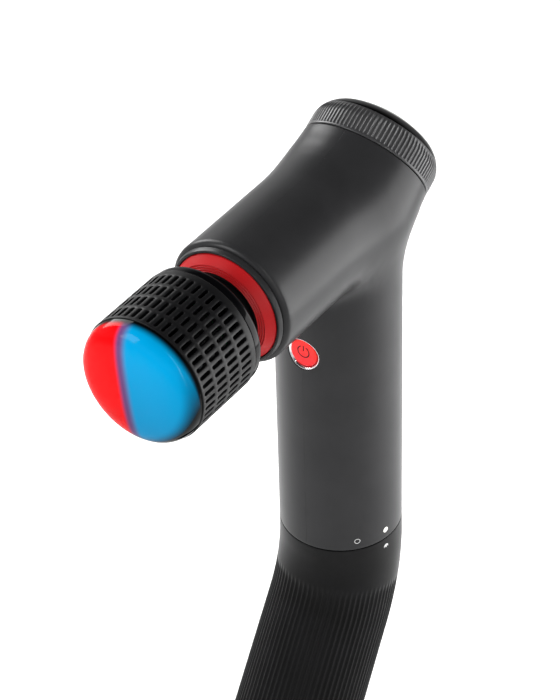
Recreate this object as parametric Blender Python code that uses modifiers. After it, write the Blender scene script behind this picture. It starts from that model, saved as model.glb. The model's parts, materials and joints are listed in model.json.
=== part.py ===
# Hot and cold percussion massager, modelled as the pieces that it comes apart into.
# Run with: blender --background --python part.py
# Lengths are in metres, +Z is up, and the head points towards -Y.

import math

import bmesh
import bpy
import numpy as np

# Clearances and mesh fineness
gap = 0.0003             # between pieces that touch
running_gap = 0.0002     # between pieces that slide or turn in each other
overrun = 0.0010         # how far a cutter runs past what it cuts
weld = 0.00001
large_steps = 32
inner_steps = 24
small_steps = 16
half_ring_steps = 16

# Outer skin: three pipes that meet at the barrel origin
handle_radius = 0.0220
barrel_growth = 0.0007
tail_growth = 0.00105
tail_tilt = math.radians(29.5)
tail_back = 0.01725
tail_rise = 0.0078
tail_stem = 0.0220
tail_flare_share = 0.09
barrel_overlap = 0.0050
nose_reach = 0.0620
nose_round = 0.0015
barrel_height = 0.1344   # barrel axis above the seam with the grip
barrel_radius = handle_radius + barrel_growth
tail_radius = handle_radius + tail_growth
shell_wall = 0.0020
front_blend = 0.0060
back_blend = 0.0240
top_blend = 0.0100
blend_change = 0.0080
front_stations_share = (0.12, 0.30, 0.48, 0.64, 0.78, 0.90, 1.0)
tail_stations_share = (0.0, 0.20, 0.45, 0.72, 1.0)
handle_stations_share = (0.0, 0.25, 0.45, 0.58, 0.68, 0.77, 0.85, 0.93, 1.0)
front_split = math.radians(225)
back_split = math.radians(-30)
top_split = math.radians(105)

# Grip: a tube that bends forward below the seam and ends on a level foot
seam_height = 0.1050
grip_lead = 0.0062
grip_bend_radius = 0.0650
grip_bend = math.radians(31)
grip_growth = 0.0013
foot_flare = 0.0030
foot_flare_height = 0.0160
grip_wall = 0.0018
grip_floor = 0.0045
foot_height = 0.0015
foot_round = 0.0012
foot_inset = 0.0030
cap_plug_height = 0.0022

# Bayonet between body and grip
spigot_wall = 0.0020
collar_width = 0.0040
spigot_height = 0.0084
spigot_flange = 0.0028
spigot_roof = 0.0019
lug_reach = 0.0015
lug_height = 0.0026
lug_width = 0.0054
lug_count = 3
collar_height = 0.0045
twist_angle = math.radians(30)
contact_block_height = 0.0030
contact_radius = 0.0009
contact_ring_radius = 0.0060
contact_pad_width = 0.0026
contact_pad_thickness = 0.0006

# Cells
cell_clearance = 0.0007   # from the cells to the grip's wall
cell_gap = 0.00018
cell_count = 3
battery_board_inset = 0.0017
cell_button_radius = 0.0028
cell_button_height = 0.0008
holder_thickness = 0.0020
holder_window_radius = 0.0050
cell_start = 0.0444      # path length from the seam to the cells
cell_end_clearance = 0.00037    # from the lower holder to the base cap, at the back
port_width = 0.0092
port_height = 0.0034
port_depth = 0.0070
port_wall = 0.0004
port_round = 0.0016
port_climb = 0.0150      # above the foot, along the back of the grip
tongue_thickness = 0.0007

# Percussion drive
stroke = 0.0100
rod_length = 0.0280
rod_thickness = 0.0060
big_end_radius = 0.0080
small_end_radius = 0.0048
rod_web = 0.0070
rod_bearing_radius = 0.0051
rod_bearing_bore = 0.0026
wrist_radius = 0.0024
wrist_length = 0.0210
plunger_radius = 0.0125
plunger_tail = 0.0080    # behind the wrist pin
clevis_depth = 0.0060    # ahead of the wrist pin
socket_radius = 0.0082
socket_depth = 0.0220
contact_disc_radius = 0.0076
contact_disc_thickness = 0.0018
bushing_wall = 0.0028
bushing_length = 0.0260
frame_tube_length = 0.0280
web_inset = 0.0019
web_thickness = 0.0030
web_half_height = 0.0090
web_behind = 0.0085
motor_plate_drop = 0.0190
motor_plate_thickness = 0.0035
shaft_radius = 0.0025
bearing_radius = 0.0065
crank_clearance = 0.0023
crank_light_share = 0.688
crank_thickness = 0.0065
crank_hub_radius = 0.0045
crank_pin_radius = 0.0024
pin_clearance = 0.0004   # the crank pin stops this far below the rod

# Motor
motor_base_inset = 0.0030
motor_base_thickness = 0.0025
stator_tube_radius = 0.0046
stator_tube_wall = 0.0014
stator_tube_length = 0.0150
stator_air_gap = 0.0007
stator_height = 0.0070
stator_slots = 9
stator_slot_width = 0.0026
stator_core_wall = 0.0019
winding_inner = 0.0062
winding_inset = 0.0006
winding_height = 0.0026
bell_clearance = 0.0030
bell_wall = 0.0014
bell_height = 0.0160
bell_floor = 0.0020
magnet_wall = 0.0018
magnet_height = 0.0120
motor_screw_radius = 0.0012
motor_screw_head = 0.0022
motor_screw_head_height = 0.0016
motor_screw_inset = 0.0035

# Nose
bezel_width = 0.0012
bezel_reach = 0.0019
nose_ring_inset = 0.0031
nose_cone_reach = 0.0036
nose_cone_inset = 0.0030
nose_step_width = 0.0008
nose_step_depth = 0.0009
nose_step_count = 3
nose_ring_root = 0.0014
wiper_wall = 0.0013
wiper_length = 0.0036

# Head
head_inset = 0.0003
head_gap = 0.0132        # from the nose rim to the back of the head
head_back_inset = 0.0003
head_back_length = 0.0035
head_back_wall = 0.0022
head_back_round = 0.0015
sleeve_length = 0.0282
sleeve_wall = 0.0018
slot_rings = 4
slots_in_ring = 50
slot_length = 0.0050
slot_width_share = 0.46
slot_ring_pitch = 0.00643
slot_rear_margin = 0.0031
face_height = 0.0070
face_edge_inset = 0.0002
face_crown_height = 0.0146   # half height of the superellipse that the face is the end of
face_crown_power = 5.0
face_crown_steps = 7
face_wall = 0.0034
skirt_wall = 0.0013
skirt_length = 0.0024
peltier_inset = 0.0030    # from its corners to the skirt of the face
peltier_thickness = 0.0034
sink_base = 0.0030
sink_fin_height = 0.0075
sink_fin_count = 9
sink_fin_thickness = 0.0010
fan_tip_clearance = 0.0006
fan_hub_radius = 0.0062
fan_height = 0.0058
fan_blades = 7
fan_blade_thickness = 0.0008
fan_blade_pitch = math.radians(38)
fan_frame_wall = 0.0019
fan_frame_length = 0.0092
fan_pad_thickness = 0.0018
fan_strut_width = 0.0022
fan_pin_radius = 0.0010
head_board_thickness = 0.0016
head_board_bore = 0.0100
stem_radius = 0.0079
stem_flange_radius = 0.0110
stem_flange_thickness = 0.0020
ring_groove_depth = 0.0010
ring_groove_width = 0.0024
ring_groove_place = 0.0060   # from the end of the stem

# Tail: carrier, dial and display
cap_height = 0.0108      # dial and lens share one crowned outline
cap_crown = 0.0072
cap_round = 0.0050
dial_shoulder_steps = 5
lens_inset = 0.00225
lens_thickness = 0.0013    # at its edge
lens_wall = 0.0018
lens_crown_steps = 4
carrier_plate = 0.0016
lens_ledge = 0.0028     # from the edge of the lens in to the tube
carrier_tube_wall = 0.0022
bulkhead_thickness = 0.0020
bulkhead_bore = 0.0090
display_board_thickness = 0.0016
display_board_drop = 0.0010
rear_screw_radius = 0.0012
rear_screw_head = 0.0022
rear_screw_head_height = 0.0014
rear_screw_inset = 0.0033

# Power button and boards
button_radius = 0.0052
button_drop = 0.0478     # below the barrel axis
button_sink = 0.0008     # below the crest of the handle
button_depth = 0.0026
button_flange = 0.0010
button_flange_thickness = 0.0009
button_travel = 0.0006
bezel_ring_width = 0.0009
bezel_ring_depth = 0.0023
bezel_ring_proud = 0.0002
switch_stem_radius = 0.0016
switch_stem_length = 0.0010
switch_side = 0.0062
switch_depth = 0.0034
switch_board_width = 0.0140
switch_board_height = 0.0170
board_thickness = 0.0016
main_board_inset = 0.0050
main_board_drop = 0.0560     # top of the board below the barrel axis
main_board_clearance = 0.0044    # from the contact block up to the board
rail_thickness = 0.0030

# Radii that follow from the pipes and the clearances above
handle_bore = handle_radius - shell_wall
grip_bore = handle_radius - grip_wall
nose_ring_radius = barrel_radius - nose_ring_inset
head_radius = barrel_radius - head_inset
head_bore = head_radius - sleeve_wall
head_back_radius = head_radius - head_back_inset
face_edge_radius = head_radius - face_edge_inset
sink_radius = head_bore - gap - skirt_wall - gap
peltier_side = math.sqrt(2) * (sink_radius - peltier_inset)
fan_radius = sink_radius - fan_frame_wall - fan_tip_clearance
lens_radius = tail_radius - lens_inset
carrier_tube_radius = lens_radius - lens_ledge
rear_screw_spread = carrier_tube_radius - carrier_tube_wall - rear_screw_inset
bell_radius = handle_bore - bell_clearance
stator_radius = bell_radius - bell_wall - gap - magnet_wall - stator_air_gap
stator_slot_depth = stator_radius - stator_tube_radius - gap - stator_core_wall
winding_outer = stator_radius - winding_inset
motor_base_radius = bell_radius - motor_base_inset
motor_screw_circle = motor_base_radius - motor_screw_inset
web_inside = handle_bore - gap - web_inset - web_thickness
crank_radius = web_inside - crank_clearance
crank_light_radius = crank_light_share * crank_radius
spigot_radius = handle_bore - collar_width
main_board_width = 2 * (handle_bore - main_board_inset)
battery_board_radius = grip_bore - battery_board_inset
cell_share = 1 / math.sin(math.pi / cell_count)
cell_radius = (grip_bore - cell_clearance - cell_gap / 2 * cell_share) / (1 + cell_share)


def clear_scene():
    for thing in list(bpy.data.objects):
        bpy.data.objects.remove(thing, do_unlink=True)


def new_collection(name):
    group = bpy.data.collections.new(name)
    bpy.context.scene.collection.children.link(group)
    return group


clear_scene()
parts = new_collection("percussion_massager")
cutters = new_collection("cutters")


def empty(name, parent=None, at=(0, 0, 0), turn=(0, 0, 0)):
    thing = bpy.data.objects.new(name, None)
    cutters.objects.link(thing)
    thing.parent = parent
    thing.location = at
    thing.rotation_euler = turn
    return thing


def finish(thing, colour, roughness, metallic=0.0):
    material = bpy.data.materials.new(thing.name + "_finish")
    material.use_nodes = True
    shader = material.node_tree.nodes["Principled BSDF"]
    shader.inputs["Base Color"].default_value = (*colour, 1.0)
    shader.inputs["Roughness"].default_value = roughness
    shader.inputs["Metallic"].default_value = metallic
    thing.data.materials.clear()
    thing.data.materials.append(material)


def satin_grey(thing):
    finish(thing, (0.050, 0.050, 0.052), 0.42)


def matte_black(thing):
    finish(thing, (0.010, 0.010, 0.011), 0.55)


def gloss_black(thing):
    finish(thing, (0.004, 0.004, 0.004), 0.12)


def bright_red(thing):
    finish(thing, (0.560, 0.012, 0.014), 0.38)


def cast_metal(thing):
    finish(thing, (0.550, 0.560, 0.570), 0.45, 1.0)


def steel(thing):
    finish(thing, (0.480, 0.480, 0.490), 0.30, 1.0)


def copper(thing):
    finish(thing, (0.700, 0.260, 0.120), 0.35, 1.0)


def board_green(thing):
    finish(thing, (0.010, 0.100, 0.035), 0.50)


def pale_plastic(thing):
    finish(thing, (0.600, 0.600, 0.580), 0.45)


def cell_wrap(thing):
    finish(thing, (0.030, 0.150, 0.420), 0.40)


def rubber(thing):
    finish(thing, (0.015, 0.015, 0.015), 0.85)


def host(thing, parent, at, turn, look):
    # A piece with a look is a part; one without is a cutter.
    (parts if look else cutters).objects.link(thing)
    thing.parent = parent
    thing.location = at
    thing.rotation_euler = turn
    if look:
        look(thing)
    else:
        thing.hide_render = True
        thing.display_type = "WIRE"
    return thing


def from_bmesh(name, form, parent, at, turn, look):
    mesh = bpy.data.meshes.new(name)
    form.to_mesh(mesh)
    form.free()
    mesh.shade_smooth()
    mesh.set_sharp_from_angle(angle=math.radians(35))
    return host(bpy.data.objects.new(name, mesh), parent, at, turn, look)


def turned(name, profile, parent, look=None, at=(0, 0, 0), turn=(0, 0, 0), steps=inner_steps):
    # Turns (radius, height) points round Z. The profile runs down its outer side.
    mesh = bpy.data.meshes.new(name)
    count = len(profile)
    closed = profile[0][0] > 0 or profile[-1][0] > 0
    edges = [(i, i + 1) for i in range(count - 1)] + ([(count - 1, 0)] if closed else [])
    mesh.from_pydata([(radius, 0, height) for radius, height in profile], edges, [])
    thing = host(bpy.data.objects.new(name, mesh), parent, at, turn, look)
    screw = thing.modifiers.new("Turn", "SCREW")
    screw.steps = steps
    screw.render_steps = steps
    screw.use_merge_vertices = True
    screw.merge_threshold = weld
    return thing


def ring(name, outer, inner, low, high, parent, look=None, at=(0, 0, 0), turn=(0, 0, 0),
         steps=inner_steps):
    profile = [(inner, high), (outer, high), (outer, low), (inner, low)]
    return turned(name, profile, parent, look, at, turn, steps)


def disc(name, radius, low, high, parent, look=None, at=(0, 0, 0), turn=(0, 0, 0),
         steps=small_steps):
    form = bmesh.new()
    bmesh.ops.create_cone(form, cap_ends=True, segments=steps, radius1=radius, radius2=radius,
                          depth=high - low)
    bmesh.ops.translate(form, verts=form.verts, vec=(0, 0, (high + low) / 2))
    return from_bmesh(name, form, parent, at, turn, look)


def block(name, size, parent, look=None, at=(0, 0, 0), turn=(0, 0, 0)):
    form = bmesh.new()
    bmesh.ops.create_cube(form, size=1.0)
    bmesh.ops.scale(form, verts=form.verts, vec=size)
    return from_bmesh(name, form, parent, at, turn, look)


def plate(name, outline, low, high, parent, look=None, at=(0, 0, 0), turn=(0, 0, 0)):
    # A flat outline raised from low to high, made a mesh so that it can be cut.
    curve = bpy.data.curves.new(name + "_outline", "CURVE")
    curve.dimensions = "2D"
    curve.fill_mode = "BOTH"
    curve.extrude = (high - low) / 2
    spline = curve.splines.new("POLY")
    spline.points.add(len(outline) - 1)
    for point, (x, y) in zip(spline.points, outline):
        point.co = (x, y, 0, 1)
    spline.use_cyclic_u = True
    drawn = bpy.data.objects.new(name + "_outline", curve)
    cutters.objects.link(drawn)
    bpy.context.view_layer.update()
    mesh = bpy.data.meshes.new_from_object(drawn.evaluated_get(bpy.context.evaluated_depsgraph_get()))
    bpy.data.objects.remove(drawn, do_unlink=True)
    form = bmesh.new()
    form.from_mesh(mesh)
    bmesh.ops.remove_doubles(form, verts=form.verts, dist=weld)
    bmesh.ops.recalc_face_normals(form, faces=form.faces)
    bmesh.ops.translate(form, verts=form.verts, vec=(0, 0, (high + low) / 2))
    return from_bmesh(name, form, parent, at, turn, look)


def arc(radius, start, end, steps, centre=(0, 0)):
    angles = [start + (end - start) * i / steps for i in range(steps + 1)]
    return [(centre[0] + radius * math.cos(a), centre[1] + radius * math.sin(a)) for a in angles]


def shape(thing, operation, tool):
    change = thing.modifiers.new(operation.title(), "BOOLEAN")
    change.operation = operation
    change.object = tool


def cut(thing, *tools):
    for tool in tools:
        shape(thing, "DIFFERENCE", tool)


def join(thing, *tools):
    for tool in tools:
        shape(thing, "UNION", tool)


def settle(thing):
    # Applies the modifiers, so that the result can be copied and cut again.
    bpy.context.view_layer.update()
    mesh = bpy.data.meshes.new_from_object(thing.evaluated_get(bpy.context.evaluated_depsgraph_get()))
    thing.modifiers.clear()
    thing.data = mesh


def skin_field(points):
    # Distance-like value of the outer skin: three pipes with rounded inside corners.
    x, y, z = points[..., 0], points[..., 1], points[..., 2]
    barrel_r = np.hypot(x, z) + weld
    handle_r = np.hypot(x, y) + weld
    barrel = np.maximum(barrel_r - barrel_radius, y - barrel_overlap)
    handle = np.maximum(handle_r - handle_radius, z)
    along = (y - tail_back) * math.cos(tail_tilt) + (z - tail_rise) * math.sin(tail_tilt)
    across = (z - tail_rise) * math.cos(tail_tilt) - (y - tail_back) * math.sin(tail_tilt)
    tail_r = np.hypot(x, across) + weld
    flare = tail_flare_share * np.clip(-along, 0, tail_stem)
    tail = np.maximum(tail_r - tail_radius - flare, -along - tail_stem)
    up_y, up_z = -math.sin(tail_tilt), math.cos(tail_tilt)
    barrel_handle = x * x / (barrel_r * handle_r)
    barrel_tail = (x * x + z * across * up_z) / (barrel_r * tail_r)
    handle_tail = (x * x + y * across * up_y) / (handle_r * tail_r)
    behind = np.clip((y + blend_change) / (2 * blend_change), 0, 1)
    behind = behind * behind * (3 - 2 * behind)
    upper = rounded_union(barrel, tail, 2 * top_blend * (1 - barrel_tail))
    corner = (front_blend * (1 - behind) * np.clip(1 - barrel_handle, 0, 1)
              + back_blend * behind * np.clip(1 - handle_tail, 0, 1))
    return rounded_union(upper, handle, corner)


def rounded_union(first, second, radius):
    radius = np.maximum(radius, weld)
    corner = np.hypot(np.maximum(radius - first, 0), np.maximum(radius - second, 0))
    return np.maximum(radius, np.minimum(first, second)) - corner


def pipe_rings(end, start_angles, end_angles, stations, level):
    # Rings round one pipe, from its open end to the planes where the three pipes meet. The
    # two halves of a ring lean apart, and each point is where its ray leaves the skin.
    turn = np.arange(2 * half_ring_steps) * math.pi / half_ring_steps
    share = np.asarray(stations)[:, None]
    lean = [start_angles[i] + (end_angles[i] - start_angles[i]) * share for i in (0, 1)]
    angle = np.where(np.sin(turn)[None, :] >= 0, lean[0], lean[1])
    side = np.abs(np.sin(turn))[None, :]
    rays = np.stack([np.broadcast_to(np.cos(turn)[None, :], angle.shape),
                     side * np.cos(angle), side * np.sin(angle)], axis=-1)
    origin = (1 - share)[..., None] * np.asarray(end)[None, None, :]
    near = np.zeros(angle.shape)
    far = np.full(angle.shape, 3 * tail_radius)
    for _ in range(40):
        middle = (near + far) / 2
        outside = skin_field(origin + middle[..., None] * rays) > level
        near, far = np.where(outside, near, middle), np.where(outside, middle, far)
    return origin + near[..., None] * rays


def nose_rings():
    # The rounded rim of the nose: a quarter circle from the end face to the side.
    turn = np.arange(2 * half_ring_steps) * math.pi / half_ring_steps
    rings = []
    for radius, forward in arc(nose_round, math.pi / 2, 0, 2):
        rim = barrel_radius - nose_round + radius
        place = nose_reach - nose_round + forward
        rings.append(np.stack([rim * np.cos(turn), np.full(turn.shape, -place),
                               rim * np.sin(turn)], axis=-1))
    return np.array(rings)


def skin(level, with_rim):
    right = math.pi / 2
    front = pipe_rings((0, -nose_reach, 0), (right, 3 * right), (top_split, front_split),
                       ((0,) if not with_rim else ()) + front_stations_share, level)
    if with_rim:
        front = np.concatenate([nose_rings(), front])
    tail = pipe_rings((0, tail_back, tail_rise), (right + tail_tilt, tail_tilt - right),
                      (top_split, back_split), tail_stations_share, level)
    handle = pipe_rings((0, 0, gap / 2 - barrel_height), (2 * right, 0),
                        (front_split, back_split), handle_stations_share, level)
    return [front, tail, handle]


def add_grid(form, rings):
    # Joins rings of points with quads and returns the first ring's vertices.
    rows = [[form.verts.new(point) for point in row] for row in rings]
    for low, high in zip(rows, rows[1:]):
        for i in range(len(low)):
            j = (i + 1) % len(low)
            form.faces.new((low[i], low[j], high[j], high[i]))
    return rows


def housing_shell():
    form = bmesh.new()
    outer = [add_grid(form, pipe) for pipe in skin(0, True)]
    inner = [add_grid(form, pipe) for pipe in skin(-shell_wall, False)]
    for outside, inside in zip(outer, inner):
        for i in range(2 * half_ring_steps):
            j = (i + 1) % (2 * half_ring_steps)
            form.faces.new((outside[0][i], outside[0][j], inside[0][j], inside[0][i]))
    bmesh.ops.remove_doubles(form, verts=form.verts, dist=weld)
    bmesh.ops.recalc_face_normals(form, faces=form.faces)
    bmesh.ops.triangulate(form, faces=form.faces)
    return from_bmesh("housing_shell", form, body, (0, 0, 0), (0, 0, 0), None)


def housing():
    # Two mirrored halves that meet on the middle plane, with a bulkhead behind the drive,
    # rails for the main board and the hole for the power button.
    shell = housing_shell()
    low = -carrier_plate - gap - bulkhead_thickness
    bulkhead = disc("bulkhead", tail_radius - shell_wall / 2, low, low + bulkhead_thickness,
                    tail, steps=large_steps)
    cable_hole = disc("cable_hole", bulkhead_bore, low - overrun, overrun, tail)
    join(shell, bulkhead)
    cut(shell, cable_hole)
    rail_width = handle_radius - shell_wall / 2 - main_board_width / 2 - gap
    for side in (-1, 1):
        rail = block("board_rail", (rail_width, rail_thickness, main_board_height), body,
                     at=(side * (main_board_width / 2 + gap + rail_width / 2), 0,
                         -main_board_drop - main_board_height / 2))
        join(shell, rail)
    reach = 2 * barrel_height
    keep = block("left_side", (reach, 2 * reach, 2 * reach), body, at=((reach + gap) / 2, 0, 0))
    shape(shell, "INTERSECT", keep)
    hole = disc("button_hole", button_radius + running_gap + bezel_ring_width + gap,
                -handle_radius, handle_radius, button_place, steps=large_steps)
    pilot = disc("rear_pilot", rear_screw_radius + gap, low - overrun, overrun, tail,
                 at=(rear_screw_spread, 0, 0))
    cut(shell, hole, pilot)
    settle(shell)
    form = bmesh.new()
    form.from_mesh(shell.data)
    other = form.copy()
    bmesh.ops.scale(other, verts=other.verts, vec=(-1, 1, 1))
    bmesh.ops.reverse_faces(other, faces=other.faces)
    from_bmesh("housing_left", form, body, (0, 0, 0), (0, 0, 0), satin_grey)
    from_bmesh("housing_right", other, body, (0, 0, 0), (0, 0, 0), satin_grey)
    bpy.data.objects.remove(shell, do_unlink=True)


def nose():
    # A dark collar, the red ring with its inner steps and the seal on the plunger.
    rim = nose_reach + gap
    collar_out = nose_ring_radius + gap + bezel_width
    turned("nose_bezel",
           [(nose_ring_radius + gap, rim + bezel_reach), (nose_ring_radius + 2 * gap, rim + bezel_reach),
            (collar_out, rim), (nose_ring_radius + gap, rim)], barrel, matte_black,
           steps=large_steps)
    tip = rim + bezel_reach + nose_cone_reach
    inner = nose_ring_radius - nose_cone_inset
    profile = [(inner, tip), (nose_ring_radius, rim + bezel_reach),
               (nose_ring_radius, rim - nose_ring_root)]
    bore = inner - nose_step_count * nose_step_width
    profile.append((bore, rim - nose_ring_root))
    for step in range(nose_step_count - 1, -1, -1):
        depth = tip - (step + 1) * nose_step_depth
        radius = inner - (step + 1) * nose_step_width
        profile += [(radius, depth), (radius + nose_step_width, depth)]
    turned("nose_ring", profile, barrel, bright_red, steps=large_steps)
    ring("wiper_seal", bore - gap, bore - gap - wiper_wall, rim, rim + wiper_length, barrel, rubber)


def percussion_frame():
    # One casting: a tube for the bushing, two webs and the plate that carries the motor.
    front = nose_reach + gap - nose_ring_root - gap
    tube_bore = plunger_radius + running_gap + bushing_wall + gap
    frame = ring("drive_frame", barrel_radius - shell_wall - gap, tube_bore,
                 front - frame_tube_length, front, barrel, cast_metal)
    web_from = front - frame_tube_length + overrun
    for side in (-1, 1):
        middle = side * (web_inside + web_thickness / 2)
        web = block("frame_web", (web_thickness, web_from + web_behind, 2 * web_half_height), body,
                    at=(middle, (web_behind - web_from) / 2, 0))
        drop = motor_plate_drop + motor_plate_thickness
        leg = block("frame_leg", (web_thickness, 2 * web_behind, drop), body,
                    at=(middle, 0, -drop / 2))
        join(frame, web, leg)
    plate_low = -motor_plate_drop - motor_plate_thickness
    carrier = disc("motor_plate", handle_radius - shell_wall - gap, plate_low, -motor_plate_drop,
                   body, steps=large_steps)
    join(frame, carrier)
    cut(frame, disc("bearing_seat", bearing_radius + running_gap, plate_low - overrun,
                    overrun - motor_plate_drop, body))
    for side in (-1, 1):
        cut(frame, disc("plate_hole", motor_screw_radius + gap, plate_low - overrun,
                        overrun - motor_plate_drop, body, at=(0, side * motor_screw_circle, 0)))
    ring("plunger_bushing", tube_bore - gap, plunger_radius + running_gap,
         front - bushing_length, front, barrel, pale_plastic)
    ring("motor_bearing", bearing_radius, shaft_radius + running_gap, plate_low + gap,
         -motor_plate_drop - gap, body, steel, steps=small_steps)


def plunger_set():
    # The plunger slides in the bushing; a fork at its back takes the rod, and a socket at
    # its front takes the head's stem.
    back = wrist_place - plunger_tail
    body_form = turned("plunger", [(0, plunger_front), (plunger_radius, plunger_front),
                                   (plunger_radius, back), (0, back)], plunger, matte_black)
    slot_front = wrist_place + clevis_depth
    slot_width = rod_thickness + 2 * gap
    slot = block("fork_slot", (3 * plunger_radius, slot_width, slot_front - back + overrun), plunger,
                 at=(0, 0, (slot_front + back - overrun) / 2))
    socket = disc("socket_bore", socket_radius, plunger_front - socket_depth,
                  plunger_front + overrun, plunger, steps=large_steps)
    right = (math.pi / 2, 0, 0)
    pin_hole = disc("pin_hole", wrist_radius + running_gap, -2 * plunger_radius, 2 * plunger_radius,
                    plunger, at=(0, 0, wrist_place), turn=right)
    cut(body_form, slot, socket, pin_hole)
    disc("wrist_pin", wrist_radius, -wrist_length / 2, wrist_length / 2, plunger, steel,
         at=(0, 0, wrist_place), turn=right)
    floor = plunger_front - socket_depth + gap
    ring("socket_contacts", contact_disc_radius, wrist_radius, floor, floor + contact_disc_thickness,
         plunger, copper)


def rod_set():
    # The rod is drawn from the wrist pin, which is its own origin, towards the crank pin.
    throw = stroke / 2
    low, high = -rod_thickness / 2, rod_thickness / 2
    web = math.asin(rod_web / 2 / big_end_radius)
    foot = math.asin(rod_web / 2 / small_end_radius)
    outline = arc(small_end_radius, foot, 2 * math.pi - foot, 10)
    outline += arc(big_end_radius, math.pi + web, 3 * math.pi - web, 14, (rod_length, 0))
    angle = math.atan2(wrist_place, throw)
    bar = plate("connecting_rod", outline, low, high, rod, cast_metal, turn=(0, 0, angle))
    far = (throw, wrist_place, 0)
    cut(bar, disc("small_end_hole", wrist_radius + running_gap, low - overrun, high + overrun, rod),
        disc("big_end_hole", rod_bearing_radius + running_gap, low - overrun, high + overrun, rod,
             at=far))
    ring("rod_bearing", rod_bearing_radius, rod_bearing_bore, low + gap, high - gap, rod, steel,
         at=far, steps=small_steps)


def crank_set():
    # The crank turns about the handle's axis; its pin stops just below the rod.
    top = -rod_thickness / 2 - pin_clearance - gap
    low = top - crank_thickness
    half = math.pi / 2
    outline = arc(crank_light_radius, -half, half, 10) + arc(crank_radius, half, 3 * half, 14)
    web = plate("crank", outline, low, top, crank, steel)
    hub_low = -motor_plate_drop + gap
    join(web, disc("crank_hub", crank_hub_radius, hub_low, top - gap, crank),
         disc("crank_pin", crank_pin_radius, low + gap, top + gap, crank, at=(stroke / 2, 0, 0)))
    cut(web, disc("crank_bore", shaft_radius + running_gap, hub_low - overrun,
                  top - gap - overrun, crank))
    bell_top = -motor_plate_drop - motor_plate_thickness - gap - motor_base_thickness - gap
    bell_low = bell_top - bell_height
    inner = bell_radius - bell_wall
    turned("rotor_bell",
           [(inner, bell_top), (bell_radius, bell_top), (bell_radius, bell_low),
            (shaft_radius + running_gap, bell_low), (shaft_radius + running_gap, bell_low + bell_floor),
            (inner, bell_low + bell_floor)], crank, steel)
    magnet_low = bell_low + bell_floor + gap
    ring("rotor_magnets", inner - gap, inner - gap - magnet_wall, magnet_low,
         magnet_low + magnet_height, crank, matte_black)
    disc("crank_shaft", shaft_radius, bell_low, top - 2 * gap - overrun, crank, steel)


def motor_stator():
    base_top = -motor_plate_drop - motor_plate_thickness - gap
    base_low = base_top - motor_base_thickness
    tube_low = base_low - stator_tube_length + bell_floor
    bore = stator_tube_radius - stator_tube_wall
    base = turned("motor_base",
                  [(bore, base_top), (motor_base_radius, base_top), (motor_base_radius, base_low),
                   (stator_tube_radius, base_low), (stator_tube_radius, tube_low), (bore, tube_low)],
                  body, cast_metal)
    head_top = motor_screw_head_height - motor_plate_drop + gap
    shank_low = base_low + gap
    for number, side in ((1, -1), (2, 1)):
        spot = (0, side * motor_screw_circle, 0)
        cut(base, disc("base_hole", motor_screw_radius + gap, base_low - overrun, base_top + overrun,
                       body, at=spot))
        screw("motor_screw_%d" % number, motor_screw_radius, motor_screw_head, shank_low,
              -motor_plate_drop + gap, head_top, body, at=spot)
    core_top = base_low - gap - winding_height - gap
    core_low = core_top - stator_height
    hub = stator_tube_radius + gap
    core = ring("stator_core", stator_radius, hub, core_low, core_top, body, steel)
    for slot in range(stator_slots):
        angle = 2 * math.pi * slot / stator_slots
        middle = stator_radius + overrun - (stator_slot_depth + overrun) / 2
        cut(core, block("stator_slot", (stator_slot_depth + overrun, stator_slot_width,
                                        stator_height + overrun), body,
                        at=(middle * math.cos(angle), middle * math.sin(angle),
                            (core_low + core_top) / 2), turn=(0, 0, angle)))
    ring("stator_windings", winding_outer, winding_inner, core_top + gap,
         core_top + gap + winding_height, body, copper)


def screw(name, radius, head_radius_, low, seat, top, parent, at=(0, 0, 0), look=steel):
    profile = [(0, top), (head_radius_, top), (head_radius_, seat), (radius, seat), (radius, low),
               (0, low)]
    return turned(name, profile, parent, look, at=at, steps=12)


def head_shells():
    # The black rear cover, the slotted sleeve and the domed face, all turned round the axis.
    back = head_back
    side = back + head_back_length
    inner = head_radius - sleeve_wall - gap
    hub = stem_radius + running_gap
    cover = [(inner - head_back_wall, side + head_back_wall), (inner, side + head_back_wall),
             (inner, side), (head_back_radius, side),
             (head_back_radius, back + head_back_round)]
    cover += [(head_back_radius - head_back_round + x, back + head_back_round - y)
              for x, y in arc(head_back_round, 0, math.pi / 2, 3)][1:]
    cover += [(hub, back), (hub, back + head_back_wall),
              (inner - head_back_wall, back + head_back_wall)]
    turned("head_rear_cover", cover, head, gloss_black, steps=large_steps)
    vent_sleeve(side + gap)
    face_shell(side + gap + sleeve_length + gap)


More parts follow.
